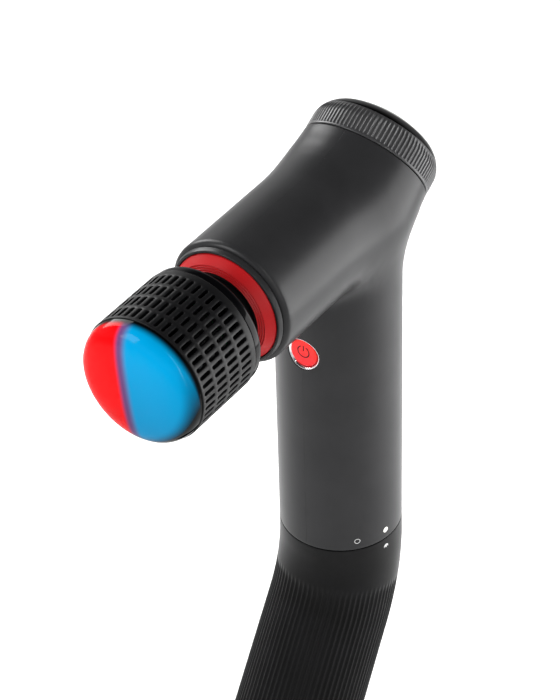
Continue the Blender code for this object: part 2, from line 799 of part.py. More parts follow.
def vent_sleeve(rear):
    # Rings of slots all round. The columns of the grid are the edges of the slots.
    pitch = 2 * math.pi / slots_in_ring
    half_slot = pitch * slot_width_share / 2
    angles = []
    for column in range(slots_in_ring):
        angles += [column * pitch - half_slot, column * pitch + half_slot]
    heights = [rear]
    for row in range(slot_rings):
        start = rear + slot_rear_margin - gap + row * slot_ring_pitch
        heights += [start, start + slot_length]
    heights.append(rear + sleeve_length)
    form = bmesh.new()
    shells = []
    for radius in (head_radius, head_radius - sleeve_wall):
        shells.append([[form.verts.new((radius * math.cos(a), radius * math.sin(a), h))
                        for a in angles] for h in heights])
    count = len(angles)
    outer, inner = shells
    last = len(heights) - 1
    for i in range(last):
        for j in range(count):
            k = (j + 1) % count
            slot = i % 2 == 1 and j % 2 == 0
            if not slot:
                form.faces.new((outer[i][j], outer[i][k], outer[i + 1][k], outer[i + 1][j]))
                form.faces.new((inner[i][k], inner[i][j], inner[i + 1][j], inner[i + 1][k]))
                continue
            loop = ((i, j), (i, k), (i + 1, k), (i + 1, j))
            for a, b in zip(loop, loop[1:] + loop[:1]):
                form.faces.new((outer[a[0]][a[1]], outer[b[0]][b[1]], inner[b[0]][b[1]],
                                inner[a[0]][a[1]]))
    for i in (0, last):
        for j in range(count):
            k = (j + 1) % count
            form.faces.new((outer[i][j], outer[i][k], inner[i][k], inner[i][j]))
    bmesh.ops.recalc_face_normals(form, faces=form.faces)
    from_bmesh("vent_sleeve", form, head, (0, 0, 0), (0, 0, 0), matte_black)


def face_shell(edge):
    # A puck with a rounded shoulder: the end of a superellipse.
    power = 2 / face_crown_power
    low = face_crown_height - face_height
    start = math.asin((low / face_crown_height) ** (1 / power))
    outer = []
    for step in range(face_crown_steps + 1):
        angle = start + (math.pi / 2 - start) * step / face_crown_steps
        outer.append((face_edge_radius * math.cos(angle) ** power,
                      edge - low + face_crown_height * math.sin(angle) ** power))
    outer[-1] = (0, edge + face_height)
    skirt = head_radius - sleeve_wall - gap
    rest = [(skirt, edge), (skirt, edge - skirt_length), (skirt - skirt_wall, edge - skirt_length),
            (skirt - skirt_wall, face_inside), (0, face_inside)]
    turned("head_face", outer[::-1] + rest, head, gloss_black, steps=large_steps)


def head_inside():
    # Behind the face: the thermoelectric tile, heat sink, fan, board and the stem.
    tile_low = face_inside - gap - peltier_thickness
    block("peltier_module", (peltier_side, peltier_side, peltier_thickness), head, pale_plastic,
          at=(0, 0, tile_low + peltier_thickness / 2))
    base_top = tile_low - gap
    heat_sink(base_top, sink_radius)
    fan_top = base_top - sink_base - sink_fin_height - gap
    fan_frame(fan_top, sink_radius)
    board_top = fan_top - fan_frame_length - gap
    board_bore = stem_flange_radius + gap
    ring("head_board", head_radius - sleeve_wall - 2 * gap - head_back_wall + skirt_wall, board_bore,
         board_top - head_board_thickness, board_top, head, board_green)
    stem_end = plunger_front - socket_depth + contact_disc_thickness + 2 * gap
    flange = head_back + head_back_wall + gap
    groove = stem_end + ring_groove_place
    groove_radius = stem_radius - ring_groove_depth
    turned("head_stem",
           [(0, flange + stem_flange_thickness), (stem_flange_radius, flange + stem_flange_thickness),
            (stem_flange_radius, flange), (stem_radius, flange),
            (stem_radius, groove + ring_groove_width), (groove_radius, groove + ring_groove_width),
            (groove_radius, groove), (stem_radius, groove), (stem_radius, stem_end), (0, stem_end)],
           head, steel)
    ring("stem_o_ring", stem_radius + running_gap / 2, groove_radius + running_gap, groove + running_gap,
         groove + ring_groove_width - running_gap, head, rubber)


def heat_sink(top, radius):
    # A comb pushed along Y and trimmed round, so that fins and base are one piece.
    low = top - sink_base - sink_fin_height
    pitch = 2 * radius / sink_fin_count
    outline = [(-radius, top)]
    for fin in range(sink_fin_count):
        middle = -radius + pitch * (fin + 0.5)
        left, right = middle - sink_fin_thickness / 2, middle + sink_fin_thickness / 2
        outline += [(left, top - sink_base), (left, low), (right, low), (right, top - sink_base)]
    outline += [(radius, top - sink_base), (radius, top)]
    outline.insert(1, (-radius, top - sink_base))
    comb = plate("heat_sink", outline, -radius, radius, head, cast_metal, turn=(math.pi / 2, 0, 0))
    round_trim = disc("sink_round", radius, low - overrun, top + overrun, head, steps=large_steps)
    shape(comb, "INTERSECT", round_trim)


def fan_frame(top, radius):
    low = top - fan_frame_length
    frame = ring("fan_frame", radius, radius - fan_frame_wall, low, top, head, matte_black)
    pad = disc("fan_pad", fan_hub_radius, low, low + fan_pad_thickness, head)
    join(frame, pad)
    reach = 2 * radius - fan_frame_wall
    for turn in (0, math.pi / 2):
        strut = block("fan_strut", (reach, fan_strut_width, fan_pad_thickness - gap), head,
                      at=(0, 0, low + fan_pad_thickness / 2), turn=(0, 0, turn))
        join(frame, strut)
    pin_top = low + fan_pad_thickness + fan_height
    join(frame, disc("fan_pin", fan_pin_radius, low + gap, pin_top, head, steps=12))
    fan_rotor(low + fan_pad_thickness + gap)


def fan_rotor(low):
    # Pitched blades, each sunk into the hub, which turns on the frame's pin.
    rotor = ring("fan_rotor", fan_hub_radius, fan_pin_radius + running_gap, low, low + fan_height,
                 fan, matte_black, steps=small_steps)
    blade_length = fan_radius - fan_hub_radius + gap
    tall = (fan_height - 2 * gap) / math.sin(fan_blade_pitch)
    blade_height = tall - fan_blade_thickness / math.tan(fan_blade_pitch)
    for blade in range(fan_blades):
        angle = 2 * math.pi * blade / fan_blades
        middle = fan_hub_radius - gap + blade_length / 2
        join(rotor, block("fan_blade", (blade_length, fan_blade_thickness, blade_height), fan,
                          at=(middle * math.cos(angle), middle * math.sin(angle),
                              low + fan_height / 2),
                          turn=(math.pi / 2 - fan_blade_pitch, 0, angle)))


def cap_level(radius):
    # Height of the crowned outline above the seam of the dial.
    share = radius / tail_radius
    edge = max(radius - tail_radius + cap_round, 0) / cap_round
    return (cap_height + cap_crown * (1 - share * share)
            - cap_round * (1 - math.sqrt(max(1 - edge * edge, 0))))


def tail_set():
    # A carrier plate with a tube that the dial turns on; the lens closes the tube.
    plate_low = -carrier_plate
    tube_top = dial_edge - lens_thickness - gap
    inner = carrier_tube_radius - carrier_tube_wall
    plate_radius = tail_radius - shell_wall - gap
    carrier = turned("rear_carrier",
                     [(inner, tube_top), (carrier_tube_radius, tube_top), (carrier_tube_radius, 0),
                      (plate_radius, 0), (plate_radius, plate_low), (bulkhead_bore, plate_low),
                      (bulkhead_bore, 0), (inner, 0)], tail, matte_black, steps=large_steps)
    for number, side in ((1, -1), (2, 1)):
        spot = (side * rear_screw_spread, 0, 0)
        cut(carrier, disc("carrier_hole", rear_screw_radius + gap, plate_low - overrun, overrun,
                          tail, at=spot))
        low = plate_low - gap - bulkhead_thickness
        screw("rear_screw_%d" % number, rear_screw_radius, rear_screw_head, low,
              gap, gap + rear_screw_head_height, tail, at=spot)
    dial_profile(tube_top)
    board_top = tube_top - display_board_drop
    disc("display_board", inner - gap, board_top - display_board_thickness, board_top, tail,
         board_green, steps=large_steps)
    lens(tube_top + gap)


def dial_profile(tube_top):
    bore = carrier_tube_radius + running_gap
    ledge = lens_radius + running_gap
    start = math.asin((ledge - tail_radius + cap_round) / cap_round)
    outer = []
    for step in range(dial_shoulder_steps + 1):
        angle = start + (math.pi / 2 - start) * step / dial_shoulder_steps
        radius = tail_radius - cap_round * (1 - math.sin(angle))
        outer.append((radius, cap_level(radius)))
    outer += [(tail_radius, gap), (bore, gap), (bore, tube_top), (ledge, tube_top)]
    turned("dial_ring", outer, dial, satin_grey, steps=large_steps)


def lens(low):
    top = []
    for step in range(lens_crown_steps + 1):
        share = step / lens_crown_steps
        top.append((lens_radius * share, cap_level(lens_radius * share)))
    recess = carrier_tube_radius - carrier_tube_wall
    profile = top + [(lens_radius, low), (recess, low), (recess, low + lens_wall),
                     (0, low + lens_wall)]
    turned("display_lens", profile, tail, gloss_black, steps=large_steps)


def button_set():
    # Local Z points out of the handle's front, with zero at the button's face.
    depth = button_depth
    turned("power_button",
           [(0, 0), (button_radius, 0), (button_radius, -depth),
            (button_radius + button_flange, -depth),
            (button_radius + button_flange, -depth - button_flange_thickness),
            (0, -depth - button_flange_thickness)], button, bright_red, steps=32)
    ring("button_bezel", button_radius + running_gap + bezel_ring_width, button_radius + running_gap,
         bezel_ring_proud - bezel_ring_depth, bezel_ring_proud, button_place, steel, steps=32)
    stem_top = -depth - button_flange_thickness - button_travel - gap / 3
    body_top = stem_top - switch_stem_length
    switch = block("power_switch", (switch_side, switch_side, switch_depth), button_place, matte_black,
                   at=(0, 0, body_top - switch_depth / 2))
    join(switch, disc("switch_stem", switch_stem_radius, body_top - gap, stem_top, button_place,
                      steps=16))
    board_top = body_top - switch_depth - gap
    block("switch_board", (switch_board_width, switch_board_height, board_thickness), button_place,
          board_green, at=(0, (switch_side - switch_board_height) / 2, board_top - board_thickness / 2))


def board_and_contacts():
    block("main_board", (main_board_width, board_thickness, main_board_height), body, board_green,
          at=(0, 0, -main_board_drop - main_board_height / 2))
    bore = spigot_radius + gap
    collar = ring("handle_collar", handle_radius - shell_wall - gap, bore, gap, gap + collar_height,
                  seam, cast_metal)
    for lug in range(lug_count):
        angle = 2 * math.pi * lug / lug_count - twist_angle
        reach = lug_reach + 2 * gap
        notch = block("lug_notch", (2 * reach, lug_width + 4 * gap, 2 * collar_height), seam,
                      at=(bore * math.cos(angle), bore * math.sin(angle), collar_height / 2),
                      turn=(0, 0, angle))
        cut(collar, notch)
    block_low = contact_block_low
    holder = disc("contact_block", handle_radius - shell_wall - gap, block_low,
                  block_low + contact_block_height, seam, matte_black, steps=large_steps)
    roof = spigot_height - lug_height + spigot_roof + contact_pad_thickness + gap
    for number in (1, 2):
        spot = ((number - 1) * contact_ring_radius, 0, 0)
        cut(holder, disc("contact_hole", contact_radius + running_gap, block_low - overrun,
                         block_low + contact_block_height + overrun, seam, at=spot, steps=12))
        disc("contact_pin_%d" % number, contact_radius, roof + gap,
             block_low + contact_block_height + contact_radius, seam, copper, at=spot, steps=12)


def bayonet_spigot():
    # A capped tube with three lugs that turn above the handle's collar.
    flange_top = -gap
    roof_low = spigot_height - lug_height
    inner = spigot_radius - spigot_wall
    spigot = turned("bayonet_spigot",
                    [(0, roof_low + spigot_roof), (inner, roof_low + spigot_roof), (inner, spigot_height),
                     (spigot_radius, spigot_height), (spigot_radius, flange_top),
                     (handle_radius - grip_wall - gap, flange_top),
                     (handle_radius - grip_wall - gap, -spigot_flange), (inner, -spigot_flange),
                     (inner, roof_low), (0, roof_low)], grip, matte_black)
    lug_low = gap + collar_height + gap
    for lug in range(lug_count):
        angle = 2 * math.pi * lug / lug_count
        middle = spigot_radius + (lug_reach - gap) / 2
        join(spigot, block("lug", (lug_reach + gap, lug_width, spigot_height - lug_low), grip,
                           at=(middle * math.cos(angle), middle * math.sin(angle),
                               (lug_low + spigot_height) / 2), turn=(0, 0, angle)))
    pad_low = roof_low + spigot_roof + gap / 3
    pad_top = pad_low + contact_pad_thickness
    disc("contact_button", contact_pad_width / 2, pad_low, pad_top, grip, copper)
    ring("contact_ring", contact_ring_radius + contact_pad_width / 2,
         contact_ring_radius - contact_pad_width / 2, pad_low, pad_top, grip, copper)


def grip_axis(length):
    # Point and direction of the grip's middle line at a path length below the seam.
    bent = grip_bend_radius * grip_bend
    angle = min(max(length - grip_lead, 0) / grip_bend_radius, grip_bend)
    lead = min(length, grip_lead)
    forward = grip_bend_radius * (1 - math.cos(angle))
    down = lead + grip_bend_radius * math.sin(angle)
    rest = max(length - grip_lead - bent, 0)
    forward += rest * math.sin(grip_bend)
    down += rest * math.cos(grip_bend)
    return (0, -forward, -down), angle


def grip_length():
    # Path length from the seam to the level of the foot.
    bent_down = grip_lead + grip_bend_radius * math.sin(grip_bend)
    return (grip_lead + grip_bend_radius * grip_bend
            + (seam_height - bent_down) / math.cos(grip_bend))


def grip_radius(length, height, inset):
    grown = handle_radius + grip_growth * length / grip_length()
    flare = max(0, 1 - height / foot_flare_height)
    return grown + foot_flare * flare * flare - inset


def grip_ring(length, inset):
    centre, angle = grip_axis(length)
    points = []
    for step in range(large_steps):
        turn = 2 * math.pi * step / large_steps
        radius = grip_radius(length, seam_height, inset)
        across = radius * math.sin(turn)
        points.append((radius * math.cos(turn), centre[1] + across * math.cos(angle),
                       centre[2] - across * math.sin(angle)))
    return points


def level_ring(height, inset):
    # Where the straight tube is cut level at a height above the table.
    centre, angle = grip_axis(grip_length())
    points = []
    for step in range(large_steps):
        turn = 2 * math.pi * step / large_steps
        radius = grip_radius(grip_length(), height, inset)
        across = radius * math.sin(turn)
        forward = centre[1] + height * math.tan(angle)
        points.append((radius * math.cos(turn), forward + across / math.cos(angle),
                       height - seam_height))
    return points


def grip_shell():
    stations = [gap / 2, grip_lead]
    bends = 6
    stations += [grip_lead + grip_bend_radius * grip_bend * (i + 1) / bends for i in range(bends)]
    stations.append((stations[-1] + cell_start + cell_length / 2) / 2)
    heights = (2.2 * foot_flare_height, foot_flare_height, foot_flare_height / 2, grip_floor)
    form = bmesh.new()
    skins = []
    for inset in (0, grip_wall):
        rings = [grip_ring(length, inset) for length in stations]
        rings += [level_ring(height, inset) for height in heights]
        skins.append(add_grid(form, rings))
    for end in (0, -1):
        for i in range(large_steps):
            j = (i + 1) % large_steps
            form.faces.new((skins[0][end][i], skins[0][end][j], skins[1][end][j], skins[1][end][i]))
    bmesh.ops.recalc_face_normals(form, faces=form.faces)
    shell = from_bmesh("grip_shell", form, grip, (0, 0, 0), (0, 0, 0), matte_black)
    hole = block("port_hole", (port_width + 2 * gap, port_height + 2 * gap, 4 * port_depth), port_place)
    cut(shell, hole)


def foot_set():
    # The base cap closes the tube with a plug; the pad below it is what stands on a table.
    form = bmesh.new()
    top = grip_floor - gap
    rows = [level_ring(top + cap_plug_height, grip_wall + gap), level_ring(top, grip_wall + gap),
            level_ring(top, 0), level_ring(foot_height + foot_round, 0),
            level_ring(foot_height, foot_round)]
    rows = add_grid(form, rows)
    form.faces.new(rows[0])
    form.faces.new(rows[-1])
    bmesh.ops.recalc_face_normals(form, faces=form.faces)
    from_bmesh("base_cap", form, grip, (0, 0, 0), (0, 0, 0), satin_grey)
    form = bmesh.new()
    rows = add_grid(form, [level_ring(foot_height - gap, foot_inset), level_ring(0, foot_inset)])
    form.faces.new(rows[0])
    form.faces.new(rows[-1])
    bmesh.ops.recalc_face_normals(form, faces=form.faces)
    from_bmesh("foot_pad", form, grip, (0, 0, 0), (0, 0, 0), rubber)


def cell_set():
    # Local Z runs up the straight part of the grip, with zero at the top of the cells.
    spread = (cell_radius + cell_gap / 2) / math.sin(math.pi / cell_count)
    for cell in range(cell_count):
        angle = 2 * math.pi * cell / cell_count - math.pi / 2
        spot = (spread * math.cos(angle), spread * math.sin(angle), 0)
        turned("cell_%d" % (cell + 1),
               [(0, 0), (cell_button_radius, 0), (cell_button_radius, -cell_button_height),
                (cell_radius, -cell_button_height), (cell_radius, -cell_length), (0, -cell_length)],
               cells, cell_wrap, at=spot, steps=24)
    holder_radius = grip_radius(cell_start, seam_height, grip_wall + gap)
    board_low = gap + holder_thickness + gap
    disc("battery_board", battery_board_radius, board_low, board_low + board_thickness, cells,
         board_green, steps=large_steps)
    for name, low in (("cell_holder_upper", gap),
                      ("cell_holder_lower", -cell_length - gap - holder_thickness)):
        holder = disc(name, holder_radius, low, low + holder_thickness, cells, pale_plastic,
                      steps=large_steps)
        for cell in range(cell_count):
            angle = 2 * math.pi * cell / cell_count - math.pi / 2
            cut(holder, disc("holder_window", holder_window_radius, low - overrun,
                             low + holder_thickness + overrun, cells,
                             at=(spread * math.cos(angle), spread * math.sin(angle), 0), steps=12))


def charge_port():
    # A reversible charging socket let into the back of the grip, above the foot.
    half_w, half_h = port_width / 2, port_height / 2
    corner = port_round

    def rounded(inset):
        points = []
        for x_side, y_side, start in ((1, 1, 0), (-1, 1, 1), (-1, -1, 2), (1, -1, 3)):
            centre = (x_side * (half_w - corner), y_side * (half_h - corner))
            points += arc(corner - inset, start * math.pi / 2, (start + 1) * math.pi / 2, 3, centre)
        return points

    can = plate("charge_port", rounded(0), -port_depth, 0, port_place, steel)
    hollow = plate("port_hollow", rounded(port_wall), port_wall - port_depth, overrun, port_place)
    cut(can, hollow)
    tongue_width = port_width - 2 * corner
    join(can, block("port_tongue", (tongue_width, tongue_thickness, port_depth - 3 * port_wall),
                    port_place, at=(0, 0, -port_depth / 2 - port_wall)))


# Places that several pieces share
contact_block_low = spigot_height + 2 * gap
main_board_height = (barrel_height - main_board_drop - contact_block_low - contact_block_height
                     - main_board_clearance)
plug_reach = ((handle_radius + grip_growth - grip_wall - gap) * math.tan(grip_bend)
              + (grip_floor - gap + cap_plug_height) / math.cos(grip_bend))
cell_length = (grip_length() - cell_start - plug_reach - holder_thickness - 2 * gap
               - cell_end_clearance)
dial_edge = cap_level(lens_radius)
grip_reach = -grip_axis(grip_length())[0][1]
wrist_place = rod_length * math.cos(math.asin(stroke / 2 / rod_length))
head_back = nose_reach + head_gap
plunger_front = head_back - gap
face_inside = head_back + head_back_length + gap + sleeve_length + gap + face_height - face_wall

# Joint origins. The barrel's local Z points forward, and the tail's out of the display.
seam = empty("seam_origin", None, (0, grip_reach, seam_height))
body = empty("barrel_origin", seam, (0, 0, barrel_height))
barrel = empty("barrel_axis", body, (0, 0, 0), (math.pi / 2, 0, 0))
tail = empty("tail_axis", body, (0, tail_back, tail_rise), (tail_tilt - math.pi / 2, 0, 0))
dial = empty("dial_axis", tail)
plunger = empty("plunger_axis", barrel)
head = empty("head_axis", barrel)
fan = empty("fan_axis", head)
crank = empty("crank_axis", body)
rod = empty("wrist_axis", body, (0, -wrist_place, 0))
button_face = handle_radius - button_sink
button_place = empty("button_place", body, (0, -button_face, -button_drop), (math.pi / 2, 0, 0))
button = empty("button_axis", button_place)
grip = empty("grip_axis", seam)
cell_top, cell_lean = grip_axis(cell_start)
straight_top, straight_lean = grip_axis(grip_length())
back_up = grip_length() - cell_start
cells = empty("cell_axis", grip,
              (0, straight_top[1] + back_up * math.sin(grip_bend),
               straight_top[2] + back_up * math.cos(grip_bend)), (-grip_bend, 0, 0))
port_height_place = port_climb
port_y = (straight_top[1] + port_height_place * math.tan(grip_bend)
          + grip_radius(grip_length(), port_height_place, gap) / math.cos(grip_bend))
port_place = empty("port_place", grip, (0, port_y, port_height_place - seam_height),
                   (-math.pi / 2 - grip_bend, 0, 0))

housing()
nose()
percussion_frame()
plunger_set()
rod_set()
crank_set()
motor_stator()
head_shells()
head_inside()
tail_set()
button_set()
board_and_contacts()
bayonet_spigot()
grip_shell()
foot_set()
cell_set()
charge_port()
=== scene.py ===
import json
import math

import bpy
import numpy as np
from mathutils import Matrix


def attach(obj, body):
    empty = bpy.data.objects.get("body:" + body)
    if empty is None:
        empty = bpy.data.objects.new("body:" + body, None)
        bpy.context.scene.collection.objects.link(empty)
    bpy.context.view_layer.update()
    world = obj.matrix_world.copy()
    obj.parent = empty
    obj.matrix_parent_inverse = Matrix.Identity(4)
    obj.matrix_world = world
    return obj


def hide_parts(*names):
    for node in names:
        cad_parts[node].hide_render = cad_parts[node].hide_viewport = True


# Hot and cold percussion massager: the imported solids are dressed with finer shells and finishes.
# Shapes are worked out in millimetres in the frame of what carries them, then placed in metres.
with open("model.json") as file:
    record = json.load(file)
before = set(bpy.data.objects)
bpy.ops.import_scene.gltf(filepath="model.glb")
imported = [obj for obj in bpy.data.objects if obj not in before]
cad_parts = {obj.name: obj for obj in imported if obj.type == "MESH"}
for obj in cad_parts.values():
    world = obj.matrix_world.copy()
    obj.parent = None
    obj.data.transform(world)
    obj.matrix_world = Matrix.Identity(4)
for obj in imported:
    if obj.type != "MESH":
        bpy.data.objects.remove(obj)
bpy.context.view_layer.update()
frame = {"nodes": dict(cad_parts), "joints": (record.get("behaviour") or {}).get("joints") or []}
joints = {joint["name"]: joint for joint in frame["joints"]}
print("frame loaded,", len(frame["nodes"]), "nodes")

seamPlace = np.array(joints["grip_twist"]["pos_m"]) * 1000
tailPlace = np.array(joints["dial_turn"]["pos_m"]) * 1000
tailLean = math.atan2(joints["dial_turn"]["axis"][2], joints["dial_turn"]["axis"][1])
tailBack, tailRise = 17.25, 7.8    # middle of the tail's front plane from the corner of the axes
barrelPlace = tailPlace - (0, tailBack, tailRise)


# Colours and materials
def toLinear(hexColour):
    channels = np.array([int(hexColour[i:i + 2], 16) for i in (1, 3, 5)]) / 255
    linear = np.where(channels <= 0.04045, channels / 12.92, ((channels + 0.055) / 1.055) ** 2.4)
    return (*linear.tolist(), 1.0)


def addNode(tree, kind, settings=None, links=None):
    # Settings with a lower case first letter are the node's own, the others are its sockets.
    node = tree.nodes.new("ShaderNode" + kind)
    for key, value in (settings or {}).items():
        if isinstance(key, int) or not key[0].islower():
            node.inputs[key].default_value = value
        else:
            setattr(node, key, value)
    for key, source in (links or {}).items():
        tree.links.new(source, node.inputs[key])
    return node


def newMaterial(name, sockets):
    made = bpy.data.materials.new(name)
    made.use_nodes = True
    tree = made.node_tree
    shader = tree.nodes["Principled BSDF"]
    for key, value in sockets.items():
        shader.inputs[key].default_value = toLinear(value) if isinstance(value, str) else value
    place = addNode(tree, "TexCoord").outputs["Object"]
    return made, tree, shader, place


def bumped(tree, shader, pattern, height, strength=1.0):
    # Height is the pattern's depth in millimetres.
    bump = addNode(tree, "Bump", {"Strength": strength, "Distance": height / 1000},
                   {"Height": pattern.outputs["Fac"]})
    tree.links.new(bump.outputs["Normal"], shader.inputs["Normal"])


def grainBump(tree, shader, place, size, height, strength=1.0):
    # Size is the width of a grain in millimetres.
    grain = addNode(tree, "TexNoise", {"Scale": 1000 / size, "Detail": 2.0}, {"Vector": place})
    bumped(tree, shader, grain, height, strength)


def mottled(tree, shader, place, size, first, second, low=0.35, high=0.65):
    # Two close shades that drift into each other over a size in millimetres.
    drift = addNode(tree, "TexNoise", {"Scale": 1000 / size, "Detail": 3.0}, {"Vector": place})
    ramp = addNode(tree, "ValToRGB", links={"Fac": drift.outputs["Fac"]})
    ramp.color_ramp.elements[0].position = low
    ramp.color_ramp.elements[0].color = toLinear(first)
    ramp.color_ramp.elements[1].position = high
    ramp.color_ramp.elements[1].color = toLinear(second)
    tree.links.new(ramp.outputs["Color"], shader.inputs["Base Color"])


def roughnessDrift(tree, shader, place, size, low, high):
    drift = addNode(tree, "TexNoise", {"Scale": 1000 / size, "Detail": 4.0}, {"Vector": place})
    spread = addNode(tree, "MapRange", {"To Min": low, "To Max": high},
                     {"Value": drift.outputs["Fac"]})
    tree.links.new(spread.outputs["Result"], shader.inputs["Roughness"])


plastics = {
    # name: shades, grain in mm, depth in mm, roughness from and to, index, specular level, coat
    # Body shell, moulded on a finely eroded tool: even dark grey with one broad soft shine.
    "satinGreyAbs": ("#1f1f20", "#222223", 0.35, 0.006, 0.30, 0.36, 1.53, 0.11, 0.0),
    # The same plastic painted a shade paler, a lit copy of the body's grey with painted light, so
    # that each rib of the dial catches a line of light.
    "ribbedGreyAbs": ("#2c2c2d", "#313132", 0.35, 0.006, 0.28, 0.34, 1.53, 0.25, 0.0),
    # Coarser tool, black stock: nearly no shine, so the slots stay readable.
    "mattBlackAbs": ("#0b0b0c", "#0f0f10", 0.30, 0.010, 0.34, 0.42, 1.53, 0.09, 0.0),
    # Polished tool: deep black with small sharp reflections and a slight waviness.
    "glossBlackPolycarbonate": ("#020203", "#040405", 3.0, 0.002, 0.06, 0.10, 1.58, 0.05, 0.0),
    # Cast and polished dark window: reads as black glass.
    "smokedAcrylic": ("#010101", "#020202", 4.0, 0.001, 0.05, 0.08, 1.49, 0.05, 0.0),
    # Soft overmoulded grip: dull black, shine only along the crests of its ribs.
    "ribbedBlackRubber": ("#060606", "#0a0a0b", 0.28, 0.010, 0.32, 0.40, 1.50, 0.08, 0.0),
    # Moulded ring in the barrel's mouth: deep red, satin.
    "redAbs": ("#960c10", "#9e0e13", 0.35, 0.006, 0.36, 0.44, 1.53, 0.12, 0.0),
    # Pad-printed sign on the button: a thin dark line.
    "darkRedInk": ("#3c0507", "#460608", 0.40, 0.004, 0.40, 0.48, 1.50, 0.12, 0.0),
    # Bright pigmented button, a warm red.
    "pearlRedAbs": ("#d81e24", "#e03026", 0.30, 0.004, 0.34, 0.40, 1.53, 0.12, 0.0),
    # Printed marks: flat pale grey.
    "greyInk": ("#a8a8a8", "#b0b0b0", 0.30, 0.004, 0.50, 0.60, 1.50, 0.2, 0.0),
    # Undyed bearing plastic and the filled dot: milky white.
    "naturalAcetal": ("#d9d8d0", "#e2e1da", 0.40, 0.008, 0.36, 0.44, 1.48, 0.4, 0.0),
    # Fired plates of the cooling module: chalky white, a fine grit.
    "whiteAlumina": ("#c9c7c2", "#d2d0cc", 0.20, 0.010, 0.45, 0.55, 1.76, 0.4, 0.0),
    # Shrunk sleeve of the cells: clear film over blue, small wrinkles.
    "blueShrinkWrap": ("#1c5fa8", "#2368b2", 1.20, 0.010, 0.25, 0.32, 1.46, 0.5, 0.3),
    # Seals and foot: dusty black, no shine.
    "nitrileRubber": ("#0a0a0a", "#101010", 0.25, 0.020, 0.70, 0.80, 1.52, 0.2, 0.0),
}


def mouldedPlastic(name):
    # Two close shades, the tool's grain and an uneven sheen. Real eroded grain is 0.05 to 0.1 mm
    # wide; it is drawn three to five times coarser, because it wouldn't show otherwise.
    first, second, size, height, smooth, rough, index, gleam, coat = plastics[name]
    made, tree, shader, place = newMaterial(name, {"IOR": index, "Specular IOR Level": gleam,
                                                   "Coat Weight": coat, "Coat Roughness": 0.08})
    mottled(tree, shader, place, 14.0, first, second)
    grainBump(tree, shader, place, size, height)
    roughnessDrift(tree, shader, place, 9.0, smooth, rough)
    return made


metals = {
    # name: shades, roughness from and to, brush width in mm, stretch, depth in mm
    # Die-cast frame: dull pale grey with a grainy skin.
    "castMagnesium": ("#8f9194", "#a3a5a8", 0.42, 0.55, 0.5, 1.0, 0.030),
    # Extruded heat sink: black, faint lines along the extrusion.
    "blackAnodisedAluminium": ("#17181a", "#1f2022", 0.34, 0.42, 0.3, 12.0, 0.010),
    # Turned and ground parts: bright, with tool lines drawn out round the axis.
    "turnedSteel": ("#9fa1a4", "#b4b6b8", 0.20, 0.30, 0.2, 20.0, 0.006),
    # Wound wire under varnish: warm copper, a fine ridge for each turn.
    "enamelledCopper": ("#a4562c", "#bd6a36", 0.25, 0.35, 0.5, 8.0, 0.060),
    # Plated contacts: yellow and smooth.
    "goldPlate": ("#d9a83f", "#e6b850", 0.18, 0.26, 0.2, 10.0, 0.004),
    # Pressed and fired magnets: dark, rough, a trace of sparkle.
    "sinteredFerrite": ("#3a3a3d", "#48484b", 0.50, 0.62, 0.4, 1.0, 0.020),
    # Plated lining of the button's hole: near white with a soft mirror.
    "satinNickel": ("#c9cacc", "#d8d9da", 0.16, 0.24, 0.2, 14.0, 0.003),
}


def machinedMetal(name):
    # Cast, drawn or turned metal: streaks where the tool or the die ran, or an even grain.
    first, second, smooth, rough, size, stretch, height = metals[name]
    made, tree, shader, place = newMaterial(name, {"Metallic": 1.0})
    run = addNode(tree, "Mapping", {"Scale": (1.0, 1.0, 1.0 / stretch)}, {"Vector": place})
    mottled(tree, shader, run.outputs["Vector"], 5.0, first, second)
    grainBump(tree, shader, run.outputs["Vector"], size, height)
    roughnessDrift(tree, shader, run.outputs["Vector"], 4.0, smooth, rough)
    return made


def boardLaminate():
    # Glass-epoxy board under green solder mask: the cloth's 0.5 mm threads show faintly through.
    made, tree, shader, place = newMaterial("glassEpoxyBoard", {"IOR": 1.55, "Roughness": 0.35,
                                                                "Coat Weight": 0.2})
    mottled(tree, shader, place, 2.5, "#0f5a34", "#14703f", 0.4, 0.6)
    weave = addNode(tree, "TexWave", {"Scale": 1000 / 0.5 / 6.28, "Distortion": 0.4,
                                      "bands_direction": "DIAGONAL"}, {"Vector": place})
    bumped(tree, shader, weave, 0.01, 0.6)
    return made


faceLook = {
    # The border's points, (across, up) in mm from the barrel's axis, red to its left.
    "border": ((-4.0, 21.1), (-3.5, 18.6), (-3.4, 13.7), (-3.1, 6.6), (-2.2, -2.1), (-1.1, -8.5),
               (-0.5, -15.0)),
    "blend": 3.0,          # half width of the soft change of colour, mm
    "red": "#da0408", "violet": "#5c3a66", "blue": "#0083b4", "rim": "#020405",
    "fullAt": 110.7, "blackAt": 107.9,   # how far forward of the handle's axis the colour ends, mm
    # Painted shade: the colour also darkens downwards, and more so outside a circle set off to the
    # upper left.
    "dimFrom": 14.0, "dimTo": -14.0, "dim": 0.30,
    "poolAcross": -3.0, "poolUp": 3.5, "poolFull": 20.6, "poolEnd": 27.0,
}


